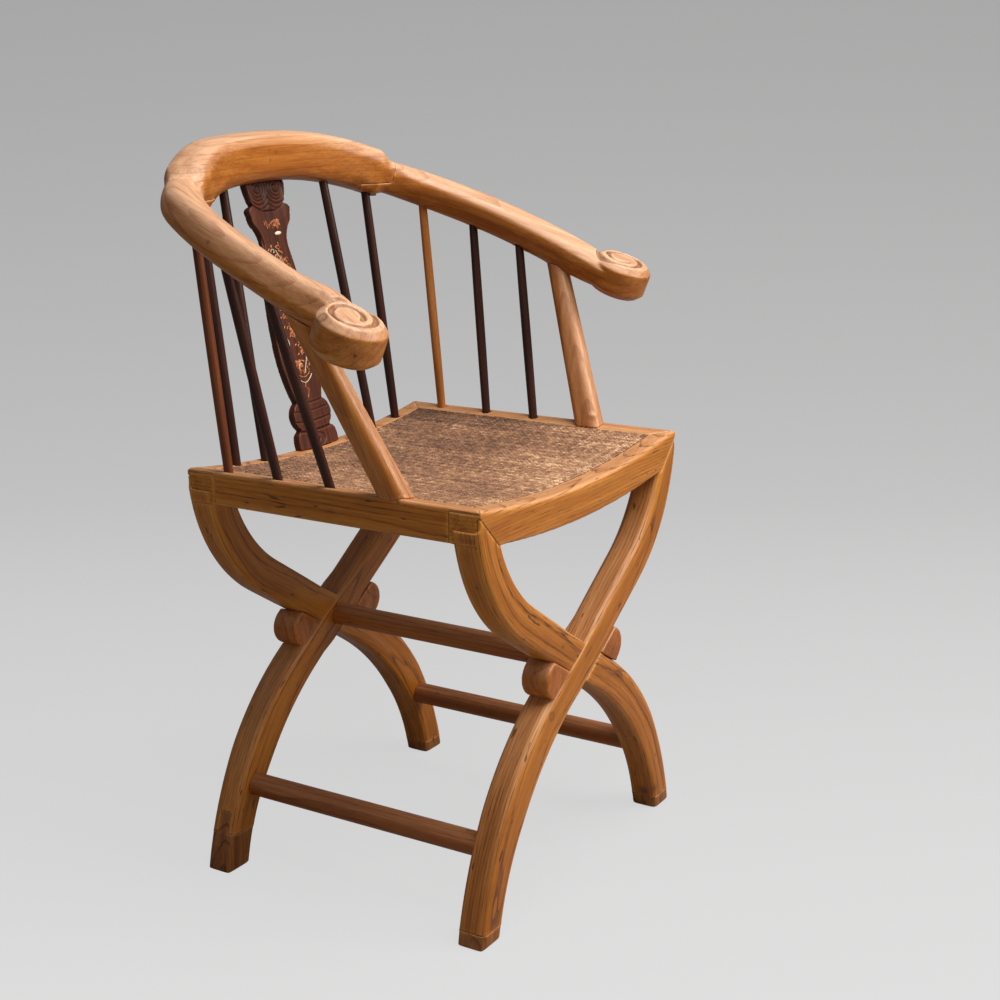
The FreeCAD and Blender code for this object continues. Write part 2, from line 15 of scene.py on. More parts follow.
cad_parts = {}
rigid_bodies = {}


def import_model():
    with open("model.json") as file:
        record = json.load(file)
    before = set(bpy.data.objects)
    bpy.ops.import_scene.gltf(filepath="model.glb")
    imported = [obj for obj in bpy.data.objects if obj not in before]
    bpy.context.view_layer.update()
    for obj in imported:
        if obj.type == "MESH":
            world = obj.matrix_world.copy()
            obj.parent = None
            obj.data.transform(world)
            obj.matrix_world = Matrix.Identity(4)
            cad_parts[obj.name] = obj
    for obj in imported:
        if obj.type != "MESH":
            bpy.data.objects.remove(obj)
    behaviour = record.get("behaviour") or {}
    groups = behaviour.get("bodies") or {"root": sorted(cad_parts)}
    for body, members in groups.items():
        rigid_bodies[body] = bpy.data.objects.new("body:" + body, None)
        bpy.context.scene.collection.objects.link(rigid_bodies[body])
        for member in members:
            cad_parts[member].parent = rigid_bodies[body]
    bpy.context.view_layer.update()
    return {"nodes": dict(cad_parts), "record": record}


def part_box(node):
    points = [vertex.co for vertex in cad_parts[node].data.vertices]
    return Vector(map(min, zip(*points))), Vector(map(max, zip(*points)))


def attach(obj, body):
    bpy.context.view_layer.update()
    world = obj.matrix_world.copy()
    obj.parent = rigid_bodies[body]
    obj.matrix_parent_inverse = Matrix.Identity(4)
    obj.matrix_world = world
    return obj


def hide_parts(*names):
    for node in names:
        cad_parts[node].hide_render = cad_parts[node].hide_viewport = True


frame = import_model()
nodes = frame["nodes"]
slots = {part["node"]: part["material_slot"] for part in frame["record"]["subparts"]}
in_scene = bpy.context.scene.collection.objects
MM = 0.001

# %% [markdown]
# The photographer stood in front of the chair's right arm, a little above the seat. The camera's
# place and lens were found from points that are mirror images of each other on the real chair.

# %% Camera
VIEW_AZIMUTH = math.radians(-58.512)
VIEW_ELEVATION = math.radians(14.526)
VIEW_ROLL = math.radians(-0.379)
SENSOR = 36.0
FOCAL_SHARE = 1.6519
CAMERA_PLACE = Vector((-1.6085, -1.1067, 0.9341))
NEAREST_SEEN = 0.05
FARTHEST_SEEN = 60

back = Vector((math.sin(VIEW_AZIMUTH) * math.cos(VIEW_ELEVATION),
               -math.cos(VIEW_AZIMUTH) * math.cos(VIEW_ELEVATION), math.sin(VIEW_ELEVATION)))
level_right = Vector((math.cos(VIEW_AZIMUTH), math.sin(VIEW_AZIMUTH), 0))
level_up = back.cross(level_right)
right = level_right * math.cos(VIEW_ROLL) + level_up * math.sin(VIEW_ROLL)
above = level_up * math.cos(VIEW_ROLL) - level_right * math.sin(VIEW_ROLL)
camera_data = bpy.data.cameras.new("photo_camera")
camera_data.sensor_width = SENSOR
camera_data.lens = FOCAL_SHARE * SENSOR
camera_data.clip_start = NEAREST_SEEN
camera_data.clip_end = FARTHEST_SEEN
camera = bpy.data.objects.new("photo_camera", camera_data)
turn = Matrix((right, above, back)).transposed().to_4x4()
camera.matrix_world = Matrix.Translation(CAMERA_PLACE) @ turn
in_scene.link(camera)
bpy.context.scene.camera = camera
bpy.context.scene.view_settings.view_transform = "Standard"
print("camera at", [round(v, 3) for v in CAMERA_PLACE])

# %% [markdown]
# Every finish and every repeated form below is a tree of nodes. One helper adds a node, sets its
# properties, and fills its sockets with values or with what other nodes put out.

# %% Helpers for node trees


def paint(code):
    """An sRGB colour such as "C08040" as the linear colour that the shader works in."""
    parts = [int(code[i:i + 2], 16) / 255 for i in (0, 2, 4)]
    linear = [c / 12.92 if c <= 0.04045 else ((c + 0.055) / 1.055) ** 2.4 for c in parts]
    return (*linear, 1.0)


def add(tree, kind, inputs=None, stops=None, **settings):
    """Adds one node, a ShaderNode if its kind says no other. Inputs, by number or identifier,
    hold values, sockets or nodes. A node stands for its first output in use. Stops are the places
    and colours of a ramp."""
    node = tree.nodes.new(kind if "Node" in kind else "ShaderNode" + kind)
    for key, value in settings.items():
        setattr(node, key, value)
    for key, value in (inputs or {}).items():
        by_name = [s for s in node.inputs if s.identifier == key]
        socket = by_name[0] if by_name else node.inputs[key]
        if isinstance(value, bpy.types.Node):
            value = next(s for s in value.outputs if s.enabled)
        if isinstance(value, bpy.types.NodeSocket):
            tree.links.new(value, socket)
        else:
            socket.default_value = value
    for i, (place, code) in enumerate(stops or ()):
        elements = node.color_ramp.elements
        element = elements[i] if i < len(elements) else elements.new(place)
        element.position = place
        element.color = paint(code)
    return node


def new_material(name, **constants):
    """A material with a Principled shader, whose named sockets get those values."""
    material = bpy.data.materials.new(name)
    material.use_nodes = True
    tree = material.node_tree
    tree.nodes.clear()
    given = {socket.replace("_", " "): value for socket, value in constants.items()}
    shader = add(tree, "BsdfPrincipled", given)
    add(tree, "OutputMaterial", {"Surface": shader})
    return material, tree, shader


def wear_finish(tree, shader, sockets):
    """Links what the named nodes put out to those sockets of the shader."""
    for socket, made in sockets.items():
        tree.links.new(next(s for s in made.outputs if s.enabled), shader.inputs[socket])


print("half grey is", round(paint("808080")[0], 3), "in linear light")

# %% [markdown]
# The floor and backdrop are one pale sweep, because a curve shows no corner where a floor meets a
# wall. The photo's backdrop is a plain grey that gets lighter towards the floor, so the camera sees
# that grey, and other rays meet matt paper.

# %% Floor and backdrop
FLOOR_NEAR = 4.0
FLOOR_FAR = 3.2
SWEEP_RADIUS = 1.6
SWEEP_TOP = 4.5
SWEEP_WIDTH = 7.0
SWEEP_STEPS = 16
GREY_START = -0.45
GREY_END = 4.35
SHADOW_SHARE = 0.16

profile = [(-FLOOR_NEAR, 0.0)]
for i in range(SWEEP_STEPS + 1):
    a = math.pi / 2 * i / SWEEP_STEPS
    profile.append((FLOOR_FAR - SWEEP_RADIUS + SWEEP_RADIUS * math.sin(a),
                    SWEEP_RADIUS * (1 - math.cos(a))))
profile.append((FLOOR_FAR, SWEEP_TOP))
flat_back = Vector((back.x, back.y, 0)).normalized()
verts = [-flat_back * reach + level_right * SWEEP_WIDTH * side + Vector((0, 0, height))
         for reach, height in profile for side in (-1, 1)]
faces = [(2 * i, 2 * i + 1, 2 * i + 3, 2 * i + 2) for i in range(len(profile) - 1)]
sweep_mesh = bpy.data.meshes.new("studio_sweep")
sweep_mesh.from_pydata(verts, [], faces)
sweep_mesh.shade_smooth()
sweep = bpy.data.objects.new("studio_sweep", sweep_mesh)
in_scene.link(sweep)

material, tree, shader = new_material("studio_paper", Base_Color=paint("A0A0A0"), Roughness=0.9)
place = add(tree, "TexCoord").outputs["Object"]
depth = add(tree, "VectorMath", {0: place, 1: tuple(Vector((0, 0, 1)) - flat_back)},
            operation="DOT_PRODUCT").outputs["Value"]
share = add(tree, "MapRange", {0: depth, 1: GREY_START, 2: GREY_END})
grey = add(tree, "ValToRGB", {0: share}, [(0.0, "E7E7E7"), (0.42, "CDCDCD"), (1.0, "AFAFAF")])
seen = add(tree, "Emission", {0: grey})
to_camera = add(tree, "LightPath").outputs["Is Camera Ray"]
amount = add(tree, "Math", {0: to_camera, 1: 1 - SHADOW_SHARE}, operation="MULTIPLY")
mixed = add(tree, "MixShader", {0: amount, 1: shader, 2: seen})
tree.links.new(mixed.outputs[0], tree.nodes["Material Output"].inputs["Surface"])
sweep_mesh.materials.append(material)
print("sweep:", len(faces), "strips")

# %% [markdown]
# The photo's light is soft and comes from the front and from above: pale tops, dark right sides.
# Two large lamps and a weak one on the camera's left do the same. A picture of a room could light
# the chair too, but lamps are easier to move until the shadows agree.

# %% Lamps
ROOM_GREY = "F0F0F0"
ROOM_LIGHT = 0.165

world = bpy.data.worlds.new("studio")
bpy.context.scene.world = world
world.use_nodes = True
world.node_tree.nodes["Background"].inputs[0].default_value = paint(ROOM_GREY)
world.node_tree.nodes["Background"].inputs[1].default_value = ROOM_LIGHT


def lamp(name, place, target, size, power, code):
    """A soft rectangular lamp at a place, turned to its target."""
    data = bpy.data.lights.new(name, "AREA")
    data.shape = "RECTANGLE"
    data.size, data.size_y = size
    data.energy = power
    data.color = paint(code)[:3]
    light = bpy.data.objects.new(name, data)
    light.location = place
    light.rotation_euler = (Vector(target) - Vector(place)).to_track_quat("-Z", "Y").to_euler()
    in_scene.link(light)
    print("%s, %g W" % (name, power))


lamp("key_lamp", (1.3, -2.9, 2.1), (0, 0, 0.45), (1.5, 1.5), 66, "FFF8F0")
lamp("top_lamp", (0.1, -0.9, 2.6), (0, 0, 0.5), (1.8, 1.8), 64, "FFFFFF")
lamp("left_fill", (-2.6, -0.4, 1.3), (0, 0, 0.4), (1.2, 1.6), 4, "FFFFFF")

# %% [markdown]
# All the wood here is grained the same way: noise that is drawn out along the board. Each piece
# keeps a "grain" attribute for it, its points measured along the board, across it and through it,
# so that one finish gives every board its own figure. An image of wood would show its repeats.

# %% Grain
BUMP_DEPTH = 0.25 * MM


def grain_noises(tree, table):
    """Noises that follow the grain. The table gives spots a metre along and across the grain."""
    grain = add(tree, "Attribute", attribute_name="grain").outputs["Vector"]
    made = {"grain": grain}
    for kind, (along, across, detail, rough) in table.items():
        at = add(tree, "VectorMath", {0: grain, 1: (along, across, across)}, operation="MULTIPLY")
        made[kind] = add(tree, "TexNoise", {"Vector": at, "Scale": 1.0,
                                            "Detail": detail, "Roughness": rough})
    return made


def summed(tree, start, shares):
    """A start value and a share of each of some outputs, added up."""
    for part, share in shares:
        start = add(tree, "Math", {0: part, 1: share, 2: start}, operation="MULTIPLY_ADD")
    return start


print("relief of the wood", round(BUMP_DEPTH / MM, 2), "mm")

# %% [markdown]
# Elm, waxed and long in use. It has coarse open pores that show as short dark dashes in
# the early wood of each year's ring. Dirt settles in hollows and worn edges are paler. Painted
# light makes the tops paler, most of all on the rail, and the wood is darker towards the floor.
# Wax leaves a soft sheen.

# %% Elm
RING_WANDER = 20.0 * MM
EARLY_WOOD = 0.24
# Below this height the wood is made darker towards the floor.
DARKER_BELOW = 0.24
DIRT = "341606"
# How strongly the noises change the tone, which is 0.38 where they are all even.
TONE_SHARES = {"fibre": 0.7, "streak": 0.9, "cloud": 0.6}
STILL_TONE = 0.38 - 0.5 * sum(TONE_SHARES.values())
ROUGH_SHARE = 0.25
# How many spots a metre along the grain and across it, detail and roughness of each noise. Real
# pores are about 0.3 mm wide and fibres finer. They are drawn 1 to 2 mm wide here, which is as
# coarse as they need to be to show.
ELM_NOISES = {"wander": (2.2, 12.0, 3.0, 0.55), "patches": (6.0, 60.0, 2.0, 0.5),
              "fibre": (14.0, 620.0, 3.0, 0.62), "streak": (3.0, 95.0, 3.0, 0.6),
              "cloud": (3.2, 13.0, 3.0, 0.5), "pores": (45.0, 800.0, 1.0, 0.5),
              "nicks": (42.0, 170.0, 1.0, 0.5)}


def elm(name, light, middle, dark, ring_width, rings, pores, gloss, top_light_share):
    """Waxed elm: rings, pores, streaks, clouds, nicks, worn edges, dirt, and painted light on its
    tops.
    """
    material, tree, shader = new_material(name, Coat_Weight=0.05, Coat_Roughness=0.22,
                                          Specular_IOR_Level=0.3)
    where = add(tree, "TexCoord").outputs
    facing = add(tree, "SeparateXYZ", {0: where["Normal"]}).outputs[2]
    level = add(tree, "SeparateXYZ", {0: where["Object"]}).outputs[2]
    mark = add(tree, "Attribute", attribute_name="mark").outputs["Fac"]
    wear = add(tree, "Attribute", attribute_name="wear").outputs["Fac"]
    made = grain_noises(tree, ELM_NOISES)

    # Rings round the pith, a little out of round. Early is 1 where a year's growth starts.
    across = add(tree, "VectorMath", {0: made["grain"], 1: (0.0, 1.0, 1.0)}, operation="MULTIPLY")
    radius = add(tree, "VectorMath", {0: across}, operation="LENGTH").outputs["Value"]
    radius = summed(tree, radius, [(made["wander"], RING_WANDER)])
    ring = add(tree, "Math", {0: radius, 1: ring_width}, operation="DIVIDE")
    ring = add(tree, "Math", {0: ring}, operation="FRACT")

    # How far each of these has come from its start to its end, times its top value.
    # Pale is painted light: the more a face looks up, the paler it is painted, as if lit from
    # above.
    grown = {kind: add(tree, "MapRange", {0: part, 1: start, 2: end, 4: top}, clamp=True)
             for kind, part, start, end, top in (
                 ("early", ring, EARLY_WOOD, 0.0, 1.8), ("pore", made["pores"], 0.52, 0.62, 1.0),
                 ("nick", made["nicks"], 0.71, 0.75, 0.85), ("darker_low", level, DARKER_BELOW, 0.0, 0.22),
                 ("pale", facing, 0.1, 0.72, top_light_share), ("hollow", wear, -0.22, -0.95, 0.8))}
    early = add(tree, "Math", {0: grown["early"], 1: made["patches"]},
                operation="MULTIPLY", use_clamp=True)
    pore = add(tree, "Math", {0: grown["pore"], 1: summed(tree, 0.2, [(early, 0.8)])},
               operation="MULTIPLY")

    # The tone goes from 0, the light colour, to 1, the dark one.
    tone = summed(tree, STILL_TONE, [(early, rings), (grown["darker_low"], 1.0), (wear, -0.42)]
                  + [(made[kind], share) for kind, share in TONE_SHARES.items()])
    colour = add(tree, "ValToRGB", {0: tone}, [(0.0, light), (1.0, dark), (0.45, middle)])
    # The painted light on the tops: a pale colour, mixed in where a face looks up.
    pale = add(tree, "ValToRGB", {0: tone}, [(0.1, "EEC29E"), (0.9, "A0643A")])
    colour = add(tree, "Mix", {"Factor_Float": grown["pale"], "A_Color": colour,
                               "B_Color": pale}, data_type="RGBA")

    # Dark spots: pores and nicks as strong as asked, and full dirt in hollows and marks.
    dark_spot = pore
    for operation, other in (("MAXIMUM", grown["nick"]), ("MULTIPLY", pores),
                             ("MAXIMUM", grown["hollow"]), ("MAXIMUM", mark)):
        dark_spot = add(tree, "Math", {0: dark_spot, 1: other}, operation=operation)
    colour = add(tree, "Mix", {"Factor_Float": dark_spot, "A_Color": colour,
                               "B_Color": paint(DIRT)}, data_type="RGBA")
    height = summed(tree, 0.0, [(made["fibre"], 0.3), (dark_spot, -1.0)])
    bump = add(tree, "Bump", {"Strength": 0.5, "Distance": BUMP_DEPTH, "Height": height})
    rough = summed(tree, gloss - ROUGH_SHARE / 2, [(made["streak"], ROUGH_SHARE)])
    wear_finish(tree, shader, {"Base Color": colour, "Normal": bump, "Roughness": rough})
    return material


# Each kind of piece: colours, width of a year's ring, how strong rings and pores show, roughness
# and how much painted light pales its tops. Arms and bosses are the smoothest, with filled pores.
# Legs and rails keep theirs open, and the tips, which touch the floor, are the most matt.
elm_of = {
    "elm_arms": elm("elm_arms_waxed", "CA843C", "A45E1E", "70340A", 9 * MM, 0.2, 0.22, 0.36, 0.8),
    "elm_legs": elm("elm_legs_waxed", "D08832", "B06614", "642E06", 4.2 * MM, 0.38, 0.85, 0.44,
                    0.3),
    "elm_rails": elm("elm_rails_waxed", "D08A38", "B2681A", "642E06", 4.6 * MM, 0.36, 0.8, 0.42,
                     0.35),
    "elm_stretchers": elm("elm_stretchers_waxed", "B87030", "944F18", "562606", 5 * MM, 0.3, 0.6,
                          0.40, 0.25),
    "elm_bosses": elm("elm_bosses_waxed", "C2742C", "9C5414", "5C2806", 8 * MM, 0.2, 0.5, 0.38,
                      0.35),
    "elm_tips": elm("elm_tips_worn", "BC7C3C", "9A5C24", "5A2A0A", 5 * MM, 0.35, 0.8, 0.50, 0.2),
}
print("finishes:", len(elm_of), "kinds of elm")

# %% [markdown]
# The frame's pieces have sharp edges. Hands and feet have rounded the real ones. Each piece is
# copied, merged, turned into an even skin of small faces and smoothed a little. Bevels would be
# lighter, but they stop where edges run together, and a skin can be carved later.

# %% Skins of the solid pieces
WELD_REACH = 0.01 * MM
SKIN_SMOOTHING = 3


def read(items, field, width, kind=float):
    """One field of all points or edges of a mesh, as rows of numbers."""
    flat = np.empty(len(items) * width, kind)
    items.foreach_get(field, flat)
    return flat.reshape(-1, width)


def move(mesh, place):
    """Puts the mesh's points at those places."""
    mesh.vertices.foreach_set("co", place.ravel())
    mesh.update()


def store(mesh, name, rows):
    """Keeps a number or a vector for each point, for the finish to read."""
    kind, field = ("FLOAT", "value") if rows.ndim == 1 else ("FLOAT_VECTOR", "vector")
    attribute = mesh.attributes.new(name, kind, "POINT")
    attribute.data.foreach_set(field, rows.astype(np.float32).ravel())


def baked(work):
    """The plain mesh that an object's curve or modifiers make. The object itself is removed."""
    in_scene.link(work)
    graph = bpy.context.evaluated_depsgraph_get()
    result = bpy.data.meshes.new_from_object(work.evaluated_get(graph))
    bpy.data.objects.remove(work)
    return result


def skin(name, face_size, reshape=None):
    """A copy of a frame piece with even small faces, slightly smoothed."""
    mesh = nodes[name].data.copy()
    if reshape:
        move(mesh, reshape(read(mesh.vertices, "co", 3)))
    work = bpy.data.objects.new(name + "_work", mesh)
    work.modifiers.new("weld", "WELD").merge_threshold = WELD_REACH
    remesh = work.modifiers.new("remesh", "REMESH")
    remesh.mode = "VOXEL"
    remesh.voxel_size = face_size
    smooth = work.modifiers.new("smooth", "SMOOTH")
    smooth.factor = 0.5
    smooth.iterations = SKIN_SMOOTHING
    result = baked(work)
    bpy.data.meshes.remove(mesh)
    result.materials.clear()
    result.name = name + "_skin"
    return result


print("the frame has", sum(len(node.data.vertices) for node in nodes.values()), "points")

# %% [markdown]
# Averaging each point with its neighbours rounds an edge, as wear does. Where a piece meets
# another one its edge has to stay, or the joint would gape, so the nearest other piece is looked
# up. The same averaging also tells where an edge stands out and has worn pale.

# %% Worn edges
JOINT_REACH = 5 * MM
JOINT_KEEP = 0.2
STILL = 0.05 * MM
SCROLL_PLACE = np.array((0.2921, -0.12495, 0.6792))
SCROLL_RADIUS = 38 * MM
SCROLL_KEEP = 0.2


def relaxed(mesh, rounds):
    """The places of the points, each averaged with its neighbours, that many times."""
    place = read(mesh.vertices, "co", 3)
    edges = read(mesh.edges, "vertices", 2, int)
    count = np.bincount(edges.ravel(), minlength=len(place)).astype(float)
    for _ in range(rounds):
        total = np.empty_like(place)
        for column in range(3):
            v = place[:, column]
            total[:, column] = (np.bincount(edges[:, 0], v[edges[:, 1]], len(v))
                                + np.bincount(edges[:, 1], v[edges[:, 0]], len(v)))
        place = (place + total / count[:, None]) / 2
    return place


def neighbours(name):
    """A search tree of all frame pieces but this one."""
    corners, faces = [], []
    for other, source in nodes.items():
        if other != name:
            faces += [[k + len(corners) for k in face.vertices] for face in source.data.polygons]
            corners += [vertex.co.copy() for vertex in source.data.vertices]
    return BVHTree.FromPolygons(corners, faces)


def soften(mesh, name, rounds):
    """Rounds a skin's edges, but not those that meet another piece, nor much those of a scroll."""
    place = read(mesh.vertices, "co", 3)
    rounded = relaxed(mesh, rounds)
    others = neighbours(name)
    amount = np.ones(len(place))
    for i in np.flatnonzero(np.linalg.norm(rounded - place, axis=1) > STILL):
        distance = others.find_nearest(place[i], JOINT_REACH)[3]
        if distance is not None:
            amount[i] = max(0.0, distance / JOINT_REACH - JOINT_KEEP) / (1 - JOINT_KEEP)
    if name in ("arm_left", "arm_right"):
        side = 1 if name == "arm_left" else -1
        away = np.linalg.norm(place - SCROLL_PLACE * (side, 1, 1), axis=1) - SCROLL_RADIUS
        amount *= np.clip(away / SCROLL_RADIUS, 0, 1) * (1 - SCROLL_KEEP) + SCROLL_KEEP
    move(mesh, place + (rounded - place) * amount[:, None])


def set_wear(mesh, rounds=12, full=1.2 * MM):
    """Stores how far each point stands out of its surroundings, from -1 to 1."""
    place = read(mesh.vertices, "co", 3)
    normals = read(mesh.vertices, "normal", 3)
    stands = ((place - relaxed(mesh, rounds)) * normals).sum(1)
    store(mesh, "wear", np.clip(stands / full, -1, 1))


print("edges stay sharp within", round(JOINT_REACH * JOINT_KEEP / MM, 1), "mm of a joint")

# %% [markdown]
# Each leg is sawn to a curve: straight through the crossing, then bending down to the foot below
# it and up to the seat above it. Its grain and its rounded corners follow that line, so the line
# is drawn here again, from the same heights, reaches and angles as the frame's.

# %% Legs
CROSS_HEIGHT = 0.264
RAIL_BOTTOM = 0.46
FOOT_REACH = 0.234
SEAT_HALF = 0.23
END_HALF = 0.02
LIMB_END = 78
LOWER_START, LOWER_RADIUS = 32, 1.31 * CROSS_HEIGHT
UPPER_START, UPPER_RADIUS = 33, RAIL_BOTTOM - CROSS_HEIGHT
LEG_CORNER = 8 * MM
CORNER_SLOT = 6 * MM
CROSS_FLAT, CROSS_FADE = 34 * MM, 20 * MM


def limb_line(start, radius, rise, reach):
    """Centre line of a limb from the crossing outwards: straight, arc, straight."""
    a, b = math.radians(start), math.radians(LIMB_END)
    run = reach - END_HALF / math.sin(b)
    arc_run = radius * (math.sin(b) - math.sin(a))
    arc_rise = radius * (math.cos(a) - math.cos(b))
    slope = math.tan(b)
    first = (run - arc_run - (rise - arc_rise) / slope) / (math.cos(a) - math.sin(a) / slope)
    turns = np.linspace(a, b, 40)
    arc = np.stack([first * math.cos(a) + radius * (np.sin(turns) - math.sin(a)),
                    first * math.sin(a) + radius * (math.cos(a) - np.cos(turns))], 1)
    straight = np.outer(np.linspace(0, 1, 6)[:-1], arc[0])
    beyond = arc[-1] + np.outer(np.linspace(0.01, 0.12, 8), (math.cos(b), math.sin(b)))
    return np.concatenate([straight, arc, beyond])


lower = limb_line(LOWER_START, LOWER_RADIUS, CROSS_HEIGHT, FOOT_REACH)
upper = limb_line(UPPER_START, UPPER_RADIUS, RAIL_BOTTOM - CROSS_HEIGHT, SEAT_HALF)
leg_line = np.concatenate([-lower[:0:-1], upper]) + (0, CROSS_HEIGHT)
leg_length = np.concatenate([[0], np.cumsum(np.linalg.norm(np.diff(leg_line, axis=0), axis=1))])
leg_way = np.gradient(leg_line, axis=0)
leg_way /= np.linalg.norm(leg_way, axis=1)[:, None]
leg_search = KDTree(len(leg_line))
for i, point in enumerate(leg_line):
    leg_search.insert((*point, 0), i)
leg_search.balance()


def on_leg(place, hand):
    """Where points lie on a leg: along its curve and across it, and the way across.

    The hand is 1 where the leg rises to the left."""
    flat = place[:, (0, 2)] * (hand, 1)
    found = np.array([leg_search.find((*point, 0))[1] for point in flat])
    way = leg_way[found]
    offset = flat - leg_line[found]
    reach = leg_length[found] + (offset * way).sum(1)
    across_way = np.stack([way[:, 1] * hand, np.zeros(len(found)), -way[:, 0]], 1)
    across = offset[:, 0] * way[:, 1] - offset[:, 1] * way[:, 0]
    return reach, across, across_way


def round_corners(mesh, hand):
    """Takes the four long corners off a leg or a tip. Its faces and joints stay as they are."""
    place = read(mesh.vertices, "co", 3)
    reach, across, across_way = on_leg(place, hand)
    slot_of = ((reach - reach.min()) / CORNER_SLOT).astype(int) + 1
    middle = (place[:, 1].max() + place[:, 1].min()) / 2
    half = (place[:, 1].max() - place[:, 1].min()) / 2
    deep = np.abs(place[:, 1] - middle) - half + LEG_CORNER
    cross = np.linalg.norm(place[:, (0, 2)] - (0, CROSS_HEIGHT), axis=1)
    amount = np.clip((cross - CROSS_FLAT) / CROSS_FADE, 0, 1)
    for sign in (-1, 1):
        edge = np.full(slot_of.max() + 2, -1.0)
        np.maximum.at(edge, slot_of, sign * across)
        edge = np.maximum(edge, np.maximum(np.roll(edge, 1), np.roll(edge, -1)))
        over = sign * across - edge[slot_of] + LEG_CORNER
        out = np.hypot(over, deep)
        hit = np.flatnonzero((over > 0) & (deep > 0) & (out > LEG_CORNER))
        share = (1 - LEG_CORNER / out[hit]) * amount[hit]
        place[hit] -= across_way[hit] * (sign * over[hit] * share)[:, None]
        place[hit, 1] -= np.sign(place[hit, 1] - middle) * deep[hit] * share
    move(mesh, place)


print("a leg's line is", round(leg_length[-1], 3), "m long")

# %% [markdown]
# The boards were sawn from elm logs, each from its own place. The grain runs along the board, and
# the rings lie round the log's middle, the pith. Legs, arms and posts were cut from thick planks
# with the grain along them, so that no limb has short grain where it could break.

# %% The boards and their grain
# Each board's own direction, and where the log's middle lay from it. A leg, whose grain follows
# its curve, has its hand in place of a direction.
boards = {
    "leg_front_through": (1, (0.05, 0.006, 0.295)),
    "leg_front_lapped": (-1, (2.37, 0.021, 0.300)),
    "leg_back_through": (1, (3.13, 0.004, -0.08)),
    "leg_back_lapped": (-1, (4.71, -0.006, -0.075)),
    "foot_tip_front_right": ((0.1, 0, 1), (0.3, 0.25, 0.2)),
    "foot_tip_front_left": ((-0.1, 0, 1), (0.9, 0.25, 0.15)),
    "foot_tip_back_right": ((0.1, 0, 1), (1.4, -0.2, 0.22)),
    "foot_tip_back_left": ((-0.1, 0, 1), (2.3, -0.2, 0.18)),
    "front_rail": ((1, 0, 0), (0.7, 0.25, 0.55)),
    "back_rail": ((1, 0, 0), (1.7, -0.17, 0.56)),
    "side_rail_left": ((0, 1, 0), (2.1, -0.45, 0.24)),
    "side_rail_right": ((0, 1, 0), (2.9, -0.46, 0.25)),
    "stretcher_middle": ((0, 1, 0), (0.2, 0.03, 0.02)),
    "stretcher_left": ((0, 1, 0), (1.2, -0.08, 0.22)),
    "stretcher_right": ((0, 1, 0), (2.2, -0.08, -0.20)),
    "boss_front_left": ((0, 0.3, 1), (0.1, 0.2, 0.1)),
    "boss_front_right": ((0, 0.3, 1), (0.7, 0.2, 0.1)),
    "boss_back_left": ((0, 0.3, 1), (1.3, 0.2, 0.1)),
    "boss_back_right": ((0, 0.3, 1), (1.9, 0.2, 0.1)),
    "crest": ((1, 0, 0), (0.4, -0.12, 0.86)),
    "arm_left": ((0.25, -0.95, -0.3), (1.4, 0.30, 0.7)),
    "arm_right": ((-0.25, -0.95, -0.3), (2.4, 0.28, 0.72)),
    "arm_post_left": ((0.2, 0.28, 1), (0.4, 0.2, 0.25)),
    "arm_post_right": ((-0.2, 0.28, 1), (1.4, 0.2, 0.21)),
}


def set_grain(mesh, axis, shift):
    """Stores each point as its place in the board: along, across and through it."""
    along = Vector(axis).normalized()
    rough = Vector((0, 1, 0)) if abs(along.y) < 0.5 else Vector((0, 0, 1))
    through = along.cross(rough).normalized()
    side = through.cross(along)
    place = read(mesh.vertices, "co", 3)
    store(mesh, "grain", place @ np.array([along, side, through]).T + np.array(shift))


def set_leg_grain(mesh, hand, shift):
    """The grain of a leg follows its curve."""
    place = read(mesh.vertices, "co", 3)
    reach, across, _ = on_leg(place, hand)
    store(mesh, "grain", np.stack([reach, across, place[:, 1]], 1) + np.array(shift))


print("boards:", len(boards))

# %% [markdown]
# The wood has nail holes, knots, nicks and a black stain on one foot. Each is a soft
# dark spot at its place, or a ring where a knot has an outline. They could be painted, but places
# in millimetres are easy to check and to move. The rail is also fuller in three places than the
# frame's drawing, so its skin is filled out there.

# %% Marks of age, and fuller places
# Place in millimetres, radius of the ring if it is one, softness and darkness.
marks_of = {
    "arm_right": (((-317, -150, 666), 0, 1.9, 1.0), ((-322, -115, 702), 5.0, 2.2, 0.55),
                  ((-324, -116, 701), 0, 2.4, 0.5), ((-329, -117, 686), 0, 3.5, 0.35),
                  ((-277, 67, 763), 0, 2.6, 0.6), ((-270, 84, 768), 0, 1.8, 0.5),
                  ((-205, 137, 809), 0, 4.5, 0.30)),
    "crest": (((-19, 189, 833), 0, 1.8, 0.6), ((-7, 189, 842), 0, 1.8, 0.5),
              ((-20, 189, 845), 0, 1.6, 0.5), ((137, 170, 801), 0, 10.0, 0.30)),
    "leg_front_lapped": (((186, -224, 24), 0, 8.0, 0.8), ((190, -239, 30), 0, 6.0, 0.6),
                         ((188, -239, 78), 0, 2.0, 0.8), ((-57, -239, 301), 0, 2.2, 0.8),
                         ((-213, -223, 411), 0, 2.2, 0.7), ((-193, -239, 439), 0, 1.8, 0.6)),
    "leg_front_through": (((-82, -239, 225), 4.5, 1.6, 0.6), ((-82, -239, 225), 0, 1.8, 0.5),
                          ((-171, -239, 131), 0, 2.2, 0.6)),
    "side_rail_right": (((-230, -136, 497), 0, 2.2, 0.9),),
}
# Place, how far the fullness reaches and the way it goes, in millimetres.
fuller = (((-221, 172, 803), 45, (-5, 5, 0)), ((-140, 205, 850), 55, (0, 0, 5)),
          ((-262, -85, 705), 32, (2, 0, 6)))


def set_marks(mesh, name, dirt):
    """Stores how dark the knots, nail holes, stains and dirt of a piece make each point."""
    place = read(mesh.vertices, "co", 3) / MM
    dark = np.zeros(len(place)) + dirt
    for centre, ring, soft, amount in marks_of.get(name, ()):
        far = (np.linalg.norm(place - centre, axis=1) - ring) / soft
        dark = np.maximum(dark, amount * np.exp(-far ** 2))
    store(mesh, "mark", dark)


